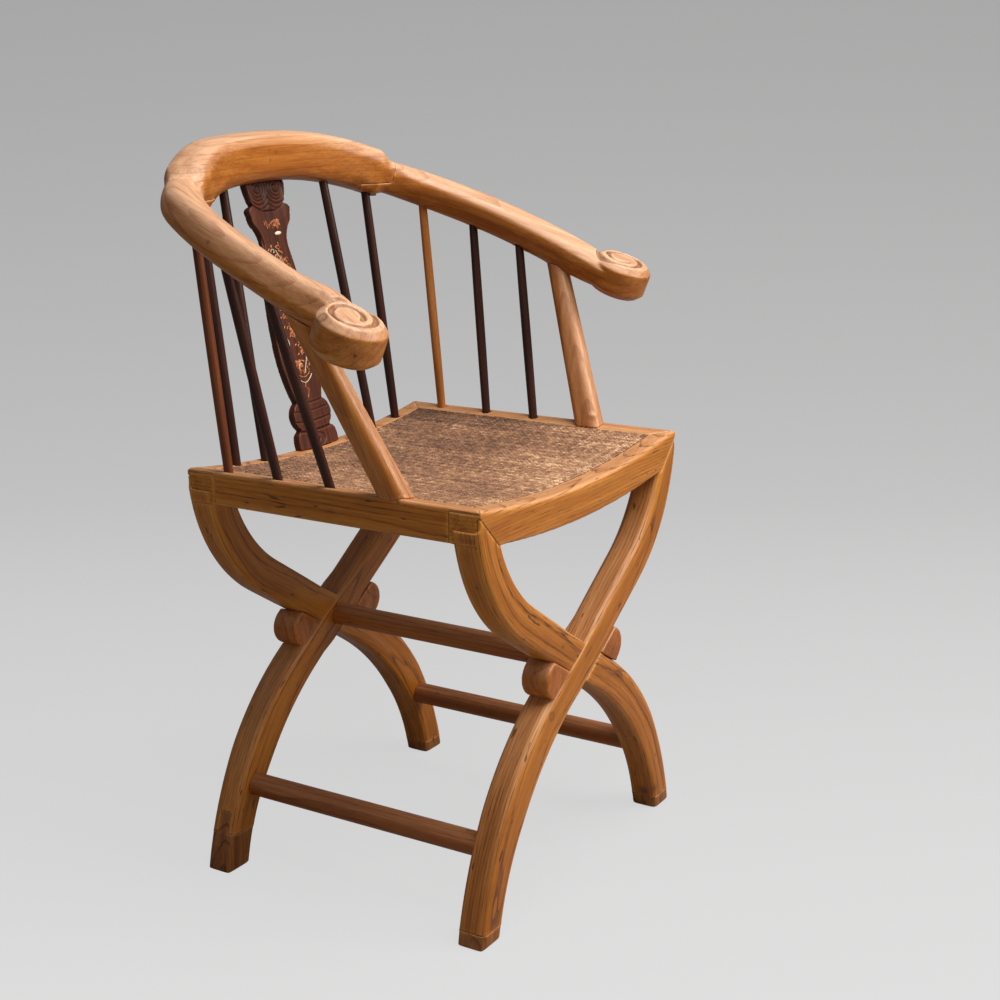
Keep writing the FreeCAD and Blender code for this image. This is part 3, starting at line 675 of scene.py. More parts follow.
def swell(mesh):
    """Fills a piece out where the real rail is fuller than the drawing."""
    place = read(mesh.vertices, "co", 3)
    for centre, reach, push in fuller:
        far = np.linalg.norm(place / MM - centre, axis=1) / reach
        place = place + np.outer(np.exp(-far ** 2), push) * MM
    move(mesh, place)


print("marks:", sum(len(spots) for spots in marks_of.values()), "on", len(marks_of), "pieces")

# %% [markdown]
# Each arm ends in a scroll. The carver sank one spiral groove into the flat top of the knob: it
# starts where the arm comes in, runs along the sitter's side round the front, and winds in
# towards a round button. Here the skin's points are pressed in along that spiral, because a
# groove cut out as a solid would have walls too sharp for old, waxed wood.

# %% Spiral grooves of the scrolls
SCROLL_TILT = math.radians(22)
SCROLL_HALF = 22 * MM
RIM_BELOW, RIM_FADE = 7 * MM, 3 * MM
SPIRAL_PLACE = np.array((1.5, 7.0, 0.0)) * MM
# Turns made since the groove left the arm, and the groove's distance from the button's middle.
SPIRAL_TURNS = (0.02, 0.20, 0.36, 0.50, 0.65, 0.80, 0.92, 1.10, 1.25, 1.36, 1.52)
SPIRAL_REACH = np.array((30.5, 31.0, 29.0, 26.8, 24.8, 20.0, 17.0, 17.0, 17.6, 16.0, 14.5)) * MM
START_FADE, END_FADE = 0.08, 0.10
THINNEST = 0.4
GROOVE_HALF = 3.7 * MM
GROOVE_WALL = 1.2 * MM
GROOVE_DEPTH = 2.8 * MM
GROOVE_DIRT = 0.45


def carve_scroll(mesh, side):
    """Presses the groove into one arm's scroll, and returns how dirty it leaves each point."""
    place = read(mesh.vertices, "co", 3)
    local = (place - SCROLL_PLACE * (side, 1, 1)) * (side, 1, 1)
    tilt = np.array(Matrix.Rotation(SCROLL_TILT, 3, "X"))
    local = local @ tilt - SPIRAL_PLACE
    radius = np.hypot(local[:, 0], local[:, 1])
    angle = np.arctan2(-local[:, 0], local[:, 1]) / (2 * math.pi) % 1
    on_top = np.clip((local[:, 2] - SCROLL_HALF + RIM_BELOW) / RIM_FADE, 0, 1)
    sink = np.zeros(len(place))
    for lap in range(2):
        turns = angle + lap
        fade = (np.clip((turns - SPIRAL_TURNS[0]) / START_FADE, 0, 1)
                * np.clip((SPIRAL_TURNS[-1] - turns) / END_FADE, 0, 1))
        line = np.interp(turns, SPIRAL_TURNS, SPIRAL_REACH)
        half = GROOVE_HALF * (THINNEST + (1 - THINNEST) * fade)
        flat = np.clip((half - np.abs(radius - line)) / GROOVE_WALL, 0, 1)
        sink = np.maximum(sink, flat * fade)
    push = np.outer(sink * on_top * GROOVE_DEPTH, tilt[:, 2])
    push[:, 0] *= side
    move(mesh, place - push)
    return sink * on_top * GROOVE_DIRT


print("the groove makes", SPIRAL_TURNS[-1], "turns and is", round(GROOVE_DEPTH / MM, 1), "mm deep")

# %% [markdown]
# Now every board gets its skin, its worn edges, its carving, its marks and its grain, and takes
# the place of the frame's piece. The rail has the finest faces and is smoothed most, because
# hands have polished it round. Legs keep their edges crisper.

# %% Dress the elm pieces
# The size of the skin's faces, and how many rounds of smoothing each kind of piece gets.
skin_of = {
    "elm_arms": (1.3 * MM, 26),
    "elm_legs": (1.8 * MM, 4),
    "elm_rails": (1.6 * MM, 10),
    "elm_stretchers": (1.6 * MM, 2),
    "elm_bosses": (1.5 * MM, 10),
    "elm_tips": (1.4 * MM, 24),
}


def show(mesh, name, material, replaced):
    """Puts a finished mesh into the scene, in place of frame pieces if it replaces any."""
    mesh.shade_smooth()
    if not mesh.materials:
        mesh.materials.append(material)
    made = bpy.data.objects.new(name, mesh)
    in_scene.link(made)
    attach(made, "root")
    if replaced:
        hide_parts(*replaced)


for name, (axis, shift) in boards.items():
    face_size, rounds = skin_of[slots[name]]
    mesh = skin(name, face_size)
    if name.startswith("leg_"):
        round_corners(mesh, axis)
    if name.startswith("foot_"):
        round_corners(mesh, 1 if name.endswith("right") else -1)
    soften(mesh, name, rounds)
    dirt = 0
    if name in ("arm_left", "arm_right"):
        dirt = carve_scroll(mesh, 1 if name == "arm_left" else -1)
    if name in ("arm_left", "arm_right", "crest"):
        swell(mesh)
    set_marks(mesh, name, dirt)
    if name.startswith("leg_"):
        set_leg_grain(mesh, axis, shift)
    else:
        set_grain(mesh, axis, shift)
    set_wear(mesh)
    show(mesh, name + "_worn", elm_of[slots[name]], [name])
    print("%-22s %6d faces" % (name, len(mesh.polygons)))

# %% [markdown]
# The splat and most spindles are of a dense dark wood like rosewood: nearly black where the light
# leaves it, red brown where it is lit, with thin black veins along the grain. Some spindles were
# replaced at some time, in a reddish brown wood and in an orange one. One function makes all of
# them, because only their colours and their polish differ.

# %% Dark woods
# The same four numbers as for elm: veins 4 mm apart, clouds of 20 mm and pits under a millimetre.
DARK_NOISES = {"vein": (5.0, 260.0, 3.0, 0.5), "cloud": (9.0, 50.0, 3.0, 0.5),
               "pits": (90.0, 1500.0, 1.0, 0.5)}


def dark_wood(name, light, middle, dark, gloss):
    """Dense wood with thin veins, faint clouds and fine pits."""
    material, tree, shader = new_material(name, Coat_Weight=0.06, Coat_Roughness=0.2,
                                          Specular_IOR_Level=0.22)
    wear = add(tree, "Attribute", attribute_name="wear").outputs["Fac"]
    made = grain_noises(tree, DARK_NOISES)
    vein = add(tree, "MapRange", {0: made["vein"], 1: 0.42, 2: 0.66}, clamp=True)
    tone = summed(tree, 0.3 - 0.5 * 0.7, [(vein, 0.35), (made["cloud"], 0.7), (wear, -0.55)])
    colour = add(tree, "ValToRGB", {0: tone}, [(0.0, light), (1.0, dark), (0.5, middle)])
    pit = add(tree, "MapRange", {0: made["pits"], 1: 0.6, 2: 0.7}, clamp=True)
    bump = add(tree, "Bump", {"Strength": 0.4, "Distance": BUMP_DEPTH, "Height": pit}, invert=True)
    rough = summed(tree, gloss, [(vein, 0.12)])
    wear_finish(tree, shader, {"Base Color": colour, "Normal": bump, "Roughness": rough})
    return material


# Scraped and polished: dark and even, with a small sharp shine along each rod.
wood_of = {
    "splat_rosewood": dark_wood("splat_rosewood", "683622", "462010", "200E07", 0.42),
    "rosewood": dark_wood("spindle_rosewood", "4C2A20", "341A12", "180D09", 0.34),
    "brown_spindle": dark_wood("spindle_reddish_brown", "8E5230", "6A361C", "3E1A0C", 0.38),
    "orange_spindle": dark_wood("spindle_orange_brown", "C88448", "A8642A", "7C4216", 0.40),
}
print("dark woods:", len(wood_of))

# %% [markdown]
# Each spindle was turned between centres: a little thicker in its middle than at its ends. The
# frame's rod gives its two ends, and a ring of points is set round that line at every step. Spin
# could turn a profile too, but here the radius is one short rule.

# %% Spindles
SPINDLE_SIDES = 20
SPINDLE_STEPS = 24
SPINDLE_MIDDLE = 5.9 * MM
SPINDLE_END = 5.2 * MM
SPINDLE_FULLNESS = 0.8


def turned(name):
    """A rod along the frame's rod, with its own profile, and its direction."""
    place = read(nodes[name].data.vertices, "co", 3)
    middle = place.mean(0)
    axis = np.linalg.svd(place - middle, full_matrices=False)[2][0]
    axis *= np.sign(axis[2])
    reach = (place - middle) @ axis
    low, high = middle + axis * reach.min(), middle + axis * reach.max()
    side = np.cross(axis, (0, 1, 0))
    side /= np.linalg.norm(side)
    front = np.cross(axis, side)
    points, faces = [], []
    for i in range(SPINDLE_STEPS + 1):
        share = i / SPINDLE_STEPS
        swelling = math.sin(math.pi * share) ** SPINDLE_FULLNESS
        radius = SPINDLE_END + (SPINDLE_MIDDLE - SPINDLE_END) * swelling
        for j in range(SPINDLE_SIDES):
            a = 2 * math.pi * j / SPINDLE_SIDES
            points.append(low + (high - low) * share
                          + (side * math.cos(a) + front * math.sin(a)) * radius)
            k = (j + 1) % SPINDLE_SIDES
            if i:
                before, now = (i - 1) * SPINDLE_SIDES, i * SPINDLE_SIDES
                faces.append((before + j, now + j, now + k, before + k))
    last = SPINDLE_STEPS * SPINDLE_SIDES
    faces.append(tuple(range(SPINDLE_SIDES)))
    faces.append(tuple(range(last + SPINDLE_SIDES - 1, last - 1, -1)))
    mesh = bpy.data.meshes.new(name + "_turned")
    mesh.from_pydata(points, [], faces)
    return mesh, axis


spindle_names = [name for name in nodes if "_spindle_" in name]
for number, name in enumerate(spindle_names):
    mesh, axis = turned(name)
    set_grain(mesh, axis, (number * 0.7, 0.1, 0.1))
    show(mesh, name + "_turned", wood_of[slots[name]], [name])
print("spindles:", len(spindle_names))

# %% [markdown]
# The splat is one board, sawn to its outline and leaning back a little. The carver then worked
# the sawn outline: the notch under the head sits lower, and the head and the foot have their own
# widths. So the copy's points are moved before the skin is made.

# %% The splat's board
SPLAT_FOOT = np.array((0.0, 0.146, 0.481))
SPLAT_LEAN = np.array((0.0, 77.0, 345.0))
SPLAT_LEAN /= np.linalg.norm(SPLAT_LEAN)
SPLAT_FRONT = np.cross((1, 0, 0), SPLAT_LEAN)
SPLAT_BOW = 4.0
SPLAT_MIDDLE = 172.5
SPLAT_REACH = 184.5
SPLAT_HALF_THICK = 5.0
SPLAT_FACE_SIZE = 0.95 * MM
# Heights of the top block and shoulder as sawn, and where the carver's work moved them to.
SAWN_LEVELS = (-20, 255, 272, 289, 304, 318, 326, 332, 380)
CARVED_LEVELS = (-20, 253, 262, 277, 295, 304, 317, 332, 380)
# How much wider than sawn the board is at heights from the foot up.
SPREAD_LEVELS = (0, 12, 20, 26, 270, 292, 304, 314, 345)
SPREAD = (0.93, 1.04, 1.12, 1.0, 1.0, 0.95, 1.10, 0.97, 0.94)


def splat_face(up):
    """How far in front of the board's straight line its face is, in millimetres, at a height."""
    return SPLAT_HALF_THICK - SPLAT_BOW * (1 - ((up - SPLAT_MIDDLE) / SPLAT_REACH) ** 2)


def on_splat(across, up, proud):
    """A place on the splat's face, from millimetres across, up and in front of it."""
    return Vector(SPLAT_FOOT + (np.array((1, 0, 0)) * across + SPLAT_LEAN * up
                                + SPLAT_FRONT * (splat_face(up) + proud)) * MM)


def shape_splat(place):
    """Moves the sawn board's outline to where the carver left it."""
    local = (place - SPLAT_FOOT) / MM
    sawn = local @ SPLAT_LEAN
    up = np.interp(sawn, SAWN_LEVELS, CARVED_LEVELS)
    wider = local[:, 0] * (np.interp(up, SPREAD_LEVELS, SPREAD) - 1)
    return place + (np.outer(up - sawn, SPLAT_LEAN) + np.outer(wider, (1, 0, 0))) * MM


splat_mesh = skin("splat", SPLAT_FACE_SIZE, shape_splat)
print("splat:", len(splat_mesh.polygons), "faces")

# %% [markdown]
# Two spiral eyes sit under the crest, with scalloped lines below them. The base has grooves like
# those of a turned vase above a bracket foot. They could be sculpted with a brush. A depth for
# every place on the face, in millimetres, keeps both eyes alike, and the skin's points sink by it.

# %% The splat's carving
EYE_ACROSS, EYE_UP = 17.0, 325.0
EYE_START, EYE_STEP = 2.0, 5.4
EYE_RINGS = (15.2, 20.4)
BROW_RING, BROW_TOP = 26.0, 312
EYE_DEPTH, EYE_LINE = 1.6, 1.5
BROW_DEPTH, BROW_LINE = 1.3, 1.4
NECK_UP, NECK_WIDE = 296.5, 30
NECK_DEPTH, NECK_LINE = 2.2, 2.0
SUNK_DEPTH, SUNK_REACH = 0.9, 14
# Grooves of the base: height, depth and half width.
BASE_GROOVES = ((56, 1.2, 1.3), (46, 1.2, 1.3), (33, 1.6, 1.6), (21, 2.6, 2.2))
FACE_ONLY = -2.5


def soft_hill(distance, half):
    """1 in the middle of a band and 0 from its edges outwards, with a round top."""
    return np.where(np.abs(distance) < half, np.cos(distance / half * math.pi / 2) ** 2, 0)


def carving(across, up):
    """Depth of the carving in millimetres at places across and up the face."""
    depth = np.zeros(len(up))
    for side in (-1, 1):
        x, y = (across - side * EYE_ACROSS) * side, up - EYE_UP
        radius = np.hypot(x, y)
        angle = np.arctan2(y, x) % (2 * math.pi)
        for lap in range(2):
            line = EYE_START + EYE_STEP * (lap + angle / (2 * math.pi))
            depth = np.maximum(depth, EYE_DEPTH * soft_hill(radius - line, EYE_LINE))
    eye = np.hypot(np.abs(across) - EYE_ACROSS, up - EYE_UP)
    for reach in EYE_RINGS:
        depth = np.maximum(depth, EYE_DEPTH * soft_hill(eye - reach, EYE_LINE))
    brow = BROW_DEPTH * soft_hill(eye - BROW_RING, BROW_LINE)
    depth = np.maximum(depth, brow * (up < BROW_TOP))
    out = np.abs(across) / NECK_WIDE
    neck = NECK_UP + 8.5 * out ** 1.5 - 2.0 * np.sin(out * math.pi)
    depth = np.maximum(depth, NECK_DEPTH * soft_hill(up - neck, NECK_LINE))
    sunk = SUNK_DEPTH * np.clip(1 - (neck - up) / SUNK_REACH, 0, 1)
    depth = np.maximum(depth, sunk * (up < neck))
    for level, deep, half in BASE_GROOVES:
        depth = np.maximum(depth, deep * soft_hill(up - level - 0.002 * across ** 2, half))
    foot = np.hypot(across / 1.6, up - 9)
    return np.maximum(depth, 1.4 * soft_hill(foot - 8, 1.3) * (up < 19))


place = read(splat_mesh.vertices, "co", 3)
local = (place - SPLAT_FOOT) / MM
up = local @ SPLAT_LEAN
proud = local @ SPLAT_FRONT - splat_face(up)
facing = np.clip(read(splat_mesh.vertices, "normal", 3) @ SPLAT_FRONT, 0, 1) * (proud > FACE_ONLY)
sink = carving(local[:, 0], up) * facing * MM
move(splat_mesh, place - np.outer(sink, SPLAT_FRONT))
set_grain(splat_mesh, SPLAT_LEAN, (3.1, 0.2, 0.1))
set_wear(splat_mesh, 10, 0.8 * MM)
show(splat_mesh, "splat_carved", wood_of["splat_rosewood"], ["splat"])
print("deepest cut", round(sink.max() / MM, 2), "mm")

# %% [markdown]
# The panel of the splat is inlaid with a climbing vine, flowers and a small urn in thin strips of
# orange wood and slips of bone, a traditional pattern. An image would blur from near by, so it is
# drawn as lines of places, in millimetres across and up the face.

# %% Drawing the inlay
strips = {"orange": [], "bone": []}


def petal_ring(across, up, radius, petals, turn):
    """A flower's outline: a line that goes in and out as it runs round."""
    points = []
    for i in range(petals * 8 + 1):
        a = 2 * math.pi * i / (petals * 8)
        r = radius * (0.72 + 0.28 * math.cos(petals * a))
        points.append((across + r * math.cos(a + turn), up + r * math.sin(a + turn)))
    return points


def curl(across, up, size, turn, hand):
    """A tendril that winds up at its end."""
    points = []
    for i in range(15):
        a = hand * i / 14 * 1.5 * math.pi + turn
        r = size * (1 - 0.8 * i / 14)
        points.append((across + hand * size * 0.3 + r * math.cos(a), up + r * math.sin(a)))
    return points


def leaf(across, up, length, wide, turn):
    """A pointed leaf's outline."""
    points = []
    for i in range(17):
        a = 2 * math.pi * i / 16
        along, over = length / 2 * math.cos(a), wide / 2 * math.sin(a) * abs(math.sin(a)) ** 0.4
        points.append((across + along * math.cos(turn) - over * math.sin(turn),
                       up + along * math.sin(turn) + over * math.cos(turn)))
    return points


def vine(up):
    """How far across the face the stem is at a height."""
    return 8.5 * math.sin(up / 15.0) * (1 - 0.3 * math.cos(up / 60))


# Flowers: place across and up, radius and number of petals.
flowers = ((-6, 104, 7.5, 5), (8, 122, 6.0, 5), (-2, 146, 8.0, 6), (9, 176, 7.0, 5),
           (-7, 206, 7.0, 5), (4, 234, 6.0, 5), (7, 280, 6.5, 5))
strips["bone"].append([(vine(v) + 3, v) for v in range(92, 252, 4)])
for count, v in enumerate(range(100, 250, 12)):
    hand = 1 if count % 2 else -1
    strips["orange" if count % 3 else "bone"].append(
        curl(vine(v) + 3 + hand * 6, v + 2, 4.2, 0.0 if hand > 0 else math.pi, hand))
    strips["orange"].append(leaf(vine(v + 6) + 3 - hand * 6, v + 7, 8.5, 3.4, 0.6 * hand + 0.4))
for across, v, radius, petals in flowers:
    strips["orange"].append(petal_ring(across, v, radius, petals, v))
    strips["orange"].append(petal_ring(across, v, radius * 0.4, 3, v))
for i in range(7):
    a = math.radians(30 + 20 * i)
    strips["orange"].append(leaf(-2 + 7.5 * math.cos(a), 160 + 7.5 * math.sin(a), 9, 2.6, a))
# The urn's rim and body, its foot, and the blossoms above the panel.
strips["bone"].append([(-15 + 30 * i / 12, 90 - 9 * math.sin(math.pi * i / 12))
                       for i in range(13)])
strips["orange"].append([(-12 + 24 * i / 10, 93 - 5 * math.sin(math.pi * i / 10))
                         for i in range(11)])
strips["orange"] += [[(-10 + 5 * i, 92), (-12 + 6 * i, 97)] for i in range(5)]
strips["orange"].append([(0, 81), (-3, 76), (3, 72), (0, 66), (-2, 62)])
strips["orange"] += [[(-16 + 3.4 * i, 282 + 3 * math.sin(i * 1.7)),
                      (-14.5 + 3.4 * i, 276 + 2 * math.cos(i * 2.3))] for i in range(9)]
strips["orange"].append([(-17, 284), (-8, 279), (0, 283), (8, 277), (13, 284)])
print("inlay:", {kind: len(lines) for kind, lines in strips.items()}, "strips")

# %% [markdown]
# A strip is a thin rod bent along its line and let halfway into the face. Petals and slips are
# flat ovals with a slightly raised middle. Nothing is cut out of the board for them, because the
# groove below a strip can't be seen.

# %% Laying the inlay
STRIP_HALF = {"orange": 0.7 * MM, "bone": 0.6 * MM}
SLIP_SIDES = 20
SLIP_MIDDLE, SLIP_EDGE, SLIP_BASE = 0.55, 0.45, -0.4


def plain_finish(name, light, dark, edges, spots, relief, gloss):
    """Two colours in a noise with that many spots a metre along X, Y and Z, as matt as asked."""
    material, tree, shader = new_material(name, Roughness=gloss)
    place = add(tree, "TexCoord").outputs["Object"]
    at = add(tree, "VectorMath", {0: place, 1: spots}, operation="MULTIPLY")
    noise = add(tree, "TexNoise", {"Vector": at, "Scale": 1.0, "Detail": 3.0})
    colour = add(tree, "ValToRGB", {0: noise}, [(edges[0], dark), (edges[1], light)])
    bump = add(tree, "Bump", {"Strength": relief, "Distance": BUMP_DEPTH, "Height": noise})
    wear_finish(tree, shader, {"Base Color": colour, "Normal": bump})
    return material


# Scraped level with the board: even colours with spots about 4 mm wide, and no relief.
scraped = ((0.35, 0.62), (260.0, 260.0, 260.0), 0.0)
inlay_of = {"orange": plain_finish("inlay_orange_wood", "C87C44", "7E3E18", *scraped, 0.4),
            "bone": plain_finish("inlay_bone", "EFE2C4", "C9B48C", *scraped, 0.35)}


def lay_strips(kind):
    """All strips of one kind as one mesh of thin flattened curves on the splat's face."""
    data = bpy.data.curves.new("inlay_" + kind, "CURVE")
    data.dimensions = "3D"
    data.bevel_depth = STRIP_HALF[kind]
    data.bevel_resolution = 0
    data.use_fill_caps = True
    for points in strips[kind]:
        spline = data.splines.new("POLY")
        spline.points.add(len(points) - 1)
        for point, (across, v) in zip(spline.points, points):
            point.co = (*on_splat(across, v, 0.0), 1)
    work = bpy.data.objects.new("inlay_" + kind, data)
    result = baked(work)
    result.materials.clear()
    show(result, "inlay_" + kind, inlay_of[kind], [])


def slip(across, up, length, wide, turn):
    """A flat oval slip, a little domed."""
    points, faces = [on_splat(across, up, SLIP_MIDDLE)], []
    for i in range(SLIP_SIDES):
        a = 2 * math.pi * i / SLIP_SIDES
        x, y = length / 2 * math.cos(a), wide / 2 * math.sin(a)
        x, y = x * math.cos(turn) - y * math.sin(turn), x * math.sin(turn) + y * math.cos(turn)
        points += [on_splat(across + x * 0.8, up + y * 0.8, SLIP_EDGE),
                   on_splat(across + x, up + y, SLIP_BASE)]
    for i in range(SLIP_SIDES):
        a, b = 1 + 2 * i, 1 + 2 * ((i + 1) % SLIP_SIDES)
        faces += [(0, a, b), (a, a + 1, b + 1, b)]
    faces.append(tuple(2 + 2 * i for i in reversed(range(SLIP_SIDES))))
    return points, faces


def lay_slips(name, spots, material):
    """Flat slips at those places as one mesh."""
    points, faces = [], []
    for spot in spots:
        more_points, more_faces = slip(*spot)
        faces += [tuple(len(points) + k for k in face) for face in more_faces]
        points += more_points
    mesh = bpy.data.meshes.new(name)
    mesh.from_pydata(points, [], faces)
    show(mesh, name, material, [])
    print(name, len(spots), "slips")


lay_strips("orange")
lay_strips("bone")
petals = []
for across, v, radius, count in flowers:
    for i in range(count):
        a = 2 * math.pi * i / count + v
        petals.append((across + 0.6 * radius * math.cos(a), v + 0.6 * radius * math.sin(a),
                       0.75 * radius, 0.42 * radius, a))
for i, v in enumerate(range(96, 256, 6)):
    hand = 1 if i % 2 else -1
    petals.append((vine(v) + 3 + hand * (4 + 3 * math.sin(v)), v, 7.5, 2.6, hand * 0.7 + 0.2 * i))
    petals.append((vine(v) - hand * (9 + 3 * math.cos(v)), v + 3, 5.5, 2.0, 1.2 - hand * 0.5))
lay_slips("inlay_petals", petals, inlay_of["orange"])
lay_slips("inlay_slips", ((7, 268, 15, 5, 0.05), (-17, 134, 6, 13, 0.2), (14, 112, 3, 9, -0.4),
                          (-10, 190, 10, 4, 0.7), (9, 216, 9, 3.6, -0.6), (13, 150, 3, 8, 0.3)),
          inlay_of["bone"])

# %% [markdown]
# The seat is woven of split cane in a plain weave, one strand over and one under, both ways. A
# pattern of bumps would look flat where light grazes the seat, so every strand is made. A node
# tree lays straight strands side by side, waves each of them up and down in turn, and sinks them
# with the dip of the frame.

# %% The tree that lays strands
WEAVE_PITCH = 3.3 * MM
STRAND_WIDE = 2.7 * MM
STRAND_THICK = 0.9 * MM
WEAVE_LIFT = 0.42 * MM
WEAVE_DROP = 2.0 * MM
SEAT_TOP = 0.5
SEAT_DIP = 19 * MM
EDGE_GAP = 0.3 * MM
DIP_RADIUS = (SEAT_HALF ** 2 + SEAT_DIP ** 2) / (2 * SEAT_DIP)
low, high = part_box("seat_cane")
OPEN_X = high[0] - low[0] - 2 * EDGE_GAP
OPEN_Y = high[1] - low[1] - 2 * EDGE_GAP
MIDDLE_Y = (high[1] + low[1]) / 2


def make_strands_tree():
    """Strands along X, side by side along Y, or turned to run along Y."""
    tree = bpy.data.node_groups.new("woven_strands", "GeometryNodeTree")
    face = tree.interface
    for label, kind, default in (("Strands", "Int", 10), ("Steps", "Int", 10),
                                 ("Length", "Float", 0.1), ("Pitch", "Float", 0.003),
                                 ("Along Y", "Bool", False), ("Under First", "Float", 0.0),
                                 ("Finish", "Material", None)):
        socket = face.new_socket(label, in_out="INPUT", socket_type="NodeSocket" + kind)
        if default is not None:
            socket.default_value = default
    face.new_socket("Mesh", in_out="OUTPUT", socket_type="NodeSocketGeometry")
    given = add(tree, "NodeGroupInput").outputs

    # One straight strand, and a row of points to lay copies of it on.
    whole = add(tree, "CombineXYZ", {0: given["Length"]})
    ends = [add(tree, "VectorMath", {0: whole, "Scale": share}, operation="SCALE")
            for share in (-0.5, 0.5)]
    line = add(tree, "GeometryNodeCurvePrimitiveLine", {"Start": ends[0], "End": ends[1]})
    line = add(tree, "GeometryNodeResampleCurve", {"Curve": line, "Count": given["Steps"]})
    spread = given["Strands"]
    for operation, amount in (("SUBTRACT", 1.0), ("MULTIPLY", given["Pitch"]),
                              ("MULTIPLY", -0.5)):
        spread = add(tree, "Math", {0: spread, 1: amount}, operation=operation)
    first = add(tree, "CombineXYZ", {1: spread})
    step = add(tree, "CombineXYZ", {1: given["Pitch"]})
    row = add(tree, "GeometryNodeMeshLine", {"Count": given["Strands"], "Start Location": first,
                                             "Offset": step})
    row = add(tree, "GeometryNodeStoreNamedAttribute",
              {"Geometry": row, "Name": "strand", "Value": add(tree, "GeometryNodeInputIndex")},
              data_type="FLOAT", domain="POINT")
    many = add(tree, "GeometryNodeInstanceOnPoints", {"Points": row, "Instance": line})
    many = add(tree, "GeometryNodeRealizeInstances", {"Geometry": many})

    # The wave: neighbouring strands go over and under in turn.
    strand = add(tree, "GeometryNodeInputNamedAttribute", {"Name": "strand"}, data_type="FLOAT")
    place = add(tree, "SeparateXYZ", {0: add(tree, "GeometryNodeInputPosition")})
    along, beside = place.outputs[0], place.outputs[1]
    wave = along
    for operation, amount in (("DIVIDE", given["Pitch"]), ("ADD", strand),
                              ("ADD", given["Under First"]), ("MULTIPLY", math.pi),
                              ("COSINE", 0.0), ("MULTIPLY", WEAVE_LIFT)):
        wave = add(tree, "Math", {0: wave, 1: amount}, operation=operation)

    # The dip: an arc across the chair, whichever way the strand runs.
    x, y = [add(tree, "GeometryNodeSwitch", {"Switch": given["Along Y"], "False": straight,
                                             "True": turned_round}, input_type="FLOAT")
            for straight, turned_round in ((along, beside), (beside, along))]
    square = add(tree, "Math", {0: x, 1: x}, operation="MULTIPLY")
    root = add(tree, "Math", {0: DIP_RADIUS ** 2, 1: square}, operation="SUBTRACT")
    root = add(tree, "Math", {0: root}, operation="SQRT")
    height = add(tree, "Math", {0: SEAT_TOP - SEAT_DIP + DIP_RADIUS - WEAVE_DROP,
                                1: root}, operation="SUBTRACT")
    height = add(tree, "Math", {0: height, 1: wave}, operation="ADD")
    y = add(tree, "Math", {0: y, 1: MIDDLE_Y}, operation="ADD")
    spot = add(tree, "CombineXYZ", {0: x, 1: y, 2: height})
    many = add(tree, "GeometryNodeSetPosition", {"Geometry": many, "Position": spot})
    many = add(tree, "GeometryNodeSetCurveNormal", {"Curve": many}, mode="Z_UP")

    # A split strand is flat below and rounded above, so three corners do for each of hundreds.
    corners = [add(tree, "CombineXYZ", {0: x, 1: y}) for x, y in
               ((-STRAND_WIDE / 2, -STRAND_THICK / 2), (0.0, STRAND_THICK / 2),
                (STRAND_WIDE / 2, -STRAND_THICK / 2))]
    outline = add(tree, "GeometryNodeCurvePrimitiveCircle",
                  {"Point 1": corners[0], "Point 2": corners[1], "Point 3": corners[2],
                   "Resolution": 3}, mode="POINTS")
    mesh = add(tree, "GeometryNodeCurveToMesh", {"Curve": many, "Profile Curve": outline,
                                                 "Fill Caps": True})
    mesh = add(tree, "GeometryNodeSetMaterial", {"Geometry": mesh, "Material": given["Finish"]})
    add(tree, "NodeGroupOutput", {0: mesh})
    return tree


strands_tree = make_strands_tree()
print("the seat is open", round(OPEN_X, 3), "by", round(OPEN_Y, 3), "m")

# %% [markdown]
# Old cane has gone brown grey, with paler worn strands in patches and dark between the strands.
# The front of the seat is rubbed palest. Two sets of strands, one across and one from front to
# back, start with opposite halves of the wave, and so lock into one another.

# %% Woven seat
WORN_FROM, WORN_TO = 0.0, -0.2


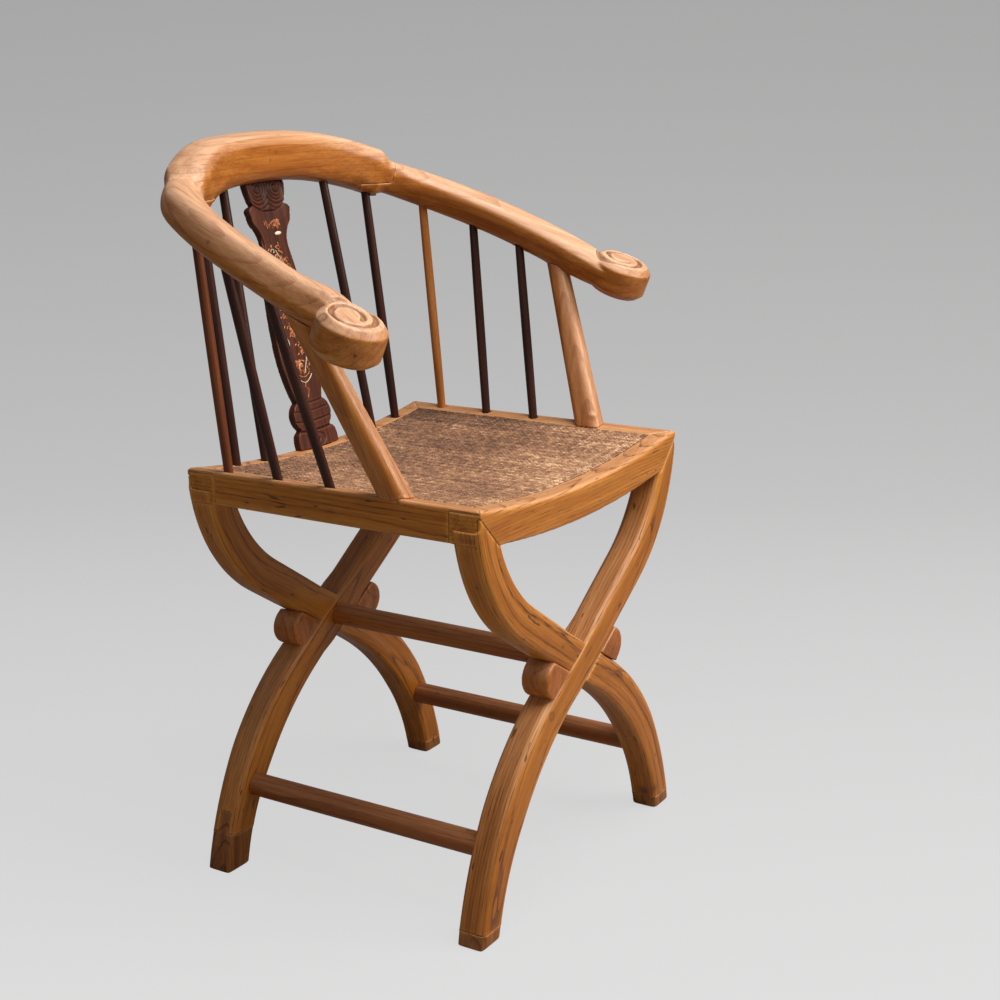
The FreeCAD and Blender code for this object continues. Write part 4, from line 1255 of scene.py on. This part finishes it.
def cane_material():
    """Split cane: every strand has its own tone, with patches, flecks and a worn front."""
    material, tree, shader = new_material("cane_strands_aged", Roughness=0.5)
    strand = add(tree, "Attribute", attribute_name="strand").outputs["Fac"]
    place = add(tree, "TexCoord").outputs["Object"]
    own = add(tree, "TexWhiteNoise", {"W": strand}, noise_dimensions="1D").outputs[0]
    patch = add(tree, "TexNoise", {"Vector": place, "Scale": 9.0, "Detail": 3.0})
    fleck = add(tree, "TexNoise", {"Vector": place, "Scale": 150.0, "Detail": 2.0})
    depth = add(tree, "SeparateXYZ", {0: place}).outputs[1]
    worn = add(tree, "MapRange", {0: depth, 1: WORN_FROM, 2: WORN_TO, 4: 0.16}, clamp=True)
    tone = summed(tree, -0.55, [(own, 0.34), (patch, 0.70), (fleck, 1.0), (worn, 1.0)])
    colour = add(tree, "ValToRGB", {0: tone},
                 [(0.12, "442C1E"), (1.0, "F2CCA2"), (0.42, "7E5840"), (0.68, "AE805C")])
    bump = add(tree, "Bump", {"Strength": 0.3, "Distance": BUMP_DEPTH, "Height": fleck})
    wear_finish(tree, shader, {"Base Color": colour, "Normal": bump})
    return material


# Cane's outer skin is hard and shiny when new. Here wear has left it half matt.
cane = cane_material()


def weave(name, across, length, along_y, under_first, replaced):
    """One set of strands, made by the tree and turned into a plain mesh."""
    work = bpy.data.objects.new(name, bpy.data.meshes.new(name))
    modifier = work.modifiers.new("strands", "NODES")
    modifier.node_group = strands_tree
    given = {"Strands": int(across / WEAVE_PITCH), "Steps": int(length / WEAVE_PITCH * 2) + 1,
             "Length": length, "Pitch": WEAVE_PITCH, "Along Y": along_y,
             "Under First": under_first, "Finish": cane}
    for item in strands_tree.interface.items_tree:
        if item.name in given:
            modifier[item.identifier] = given[item.name]
    mesh = baked(work)
    show(mesh, name, cane, replaced)
    print(name, given["Strands"], "strands,", len(mesh.polygons), "faces")


weave("cane_across", OPEN_Y, OPEN_X, False, 0.0, ["seat_cane"])
weave("cane_front_to_back", OPEN_X, OPEN_Y, True, 1.0, [])

# %% [markdown]
# What stays of the frame's own pieces gets its finish here: the border strip under the weave's
# edge, the battens below the seat and the wedge pins in the scarf joints. They are hardly seen,
# so one plain pattern of fibres does for all of them. The strip's dark reddish brown is partly
# painted shadow: it stands for the dark gap between the weave and the rail.

# %% Border and inner pieces
# Sawn wood that nobody polished is matt. Its fibres, 3 mm wide, are long along X, Y or Z.
matt = [((0.3, 0.7), spots, 0.3, 0.6) for spots in
        ((14.0, 300.0, 300.0), (300.0, 14.0, 300.0), (300.0, 300.0, 14.0))]
finishes = {
    # The border strip: reddish brown wood, darkened further as painted shadow in the gap along the
    # weave's edge.
    "seat_border": plain_finish("border_strip_dark_shadow_gap", "6A4030", "2E1810", *matt[0]),
    "seat_batten_left": plain_finish("batten_wood", "A07850", "6A4A2C", *matt[1]),
    "seat_batten_right": plain_finish("batten_wood_2", "9A7048", "644428", *matt[1]),
    "scarf_pin_left": plain_finish("pin_wood", "9A6A3C", "6A4020", *matt[2]),
    "scarf_pin_right": plain_finish("pin_wood_2", "926236", "62391C", *matt[2]),
}
for name, material in finishes.items():
    for holder in nodes[name].material_slots:
        holder.material = material
print("plain pieces:", len(finishes))
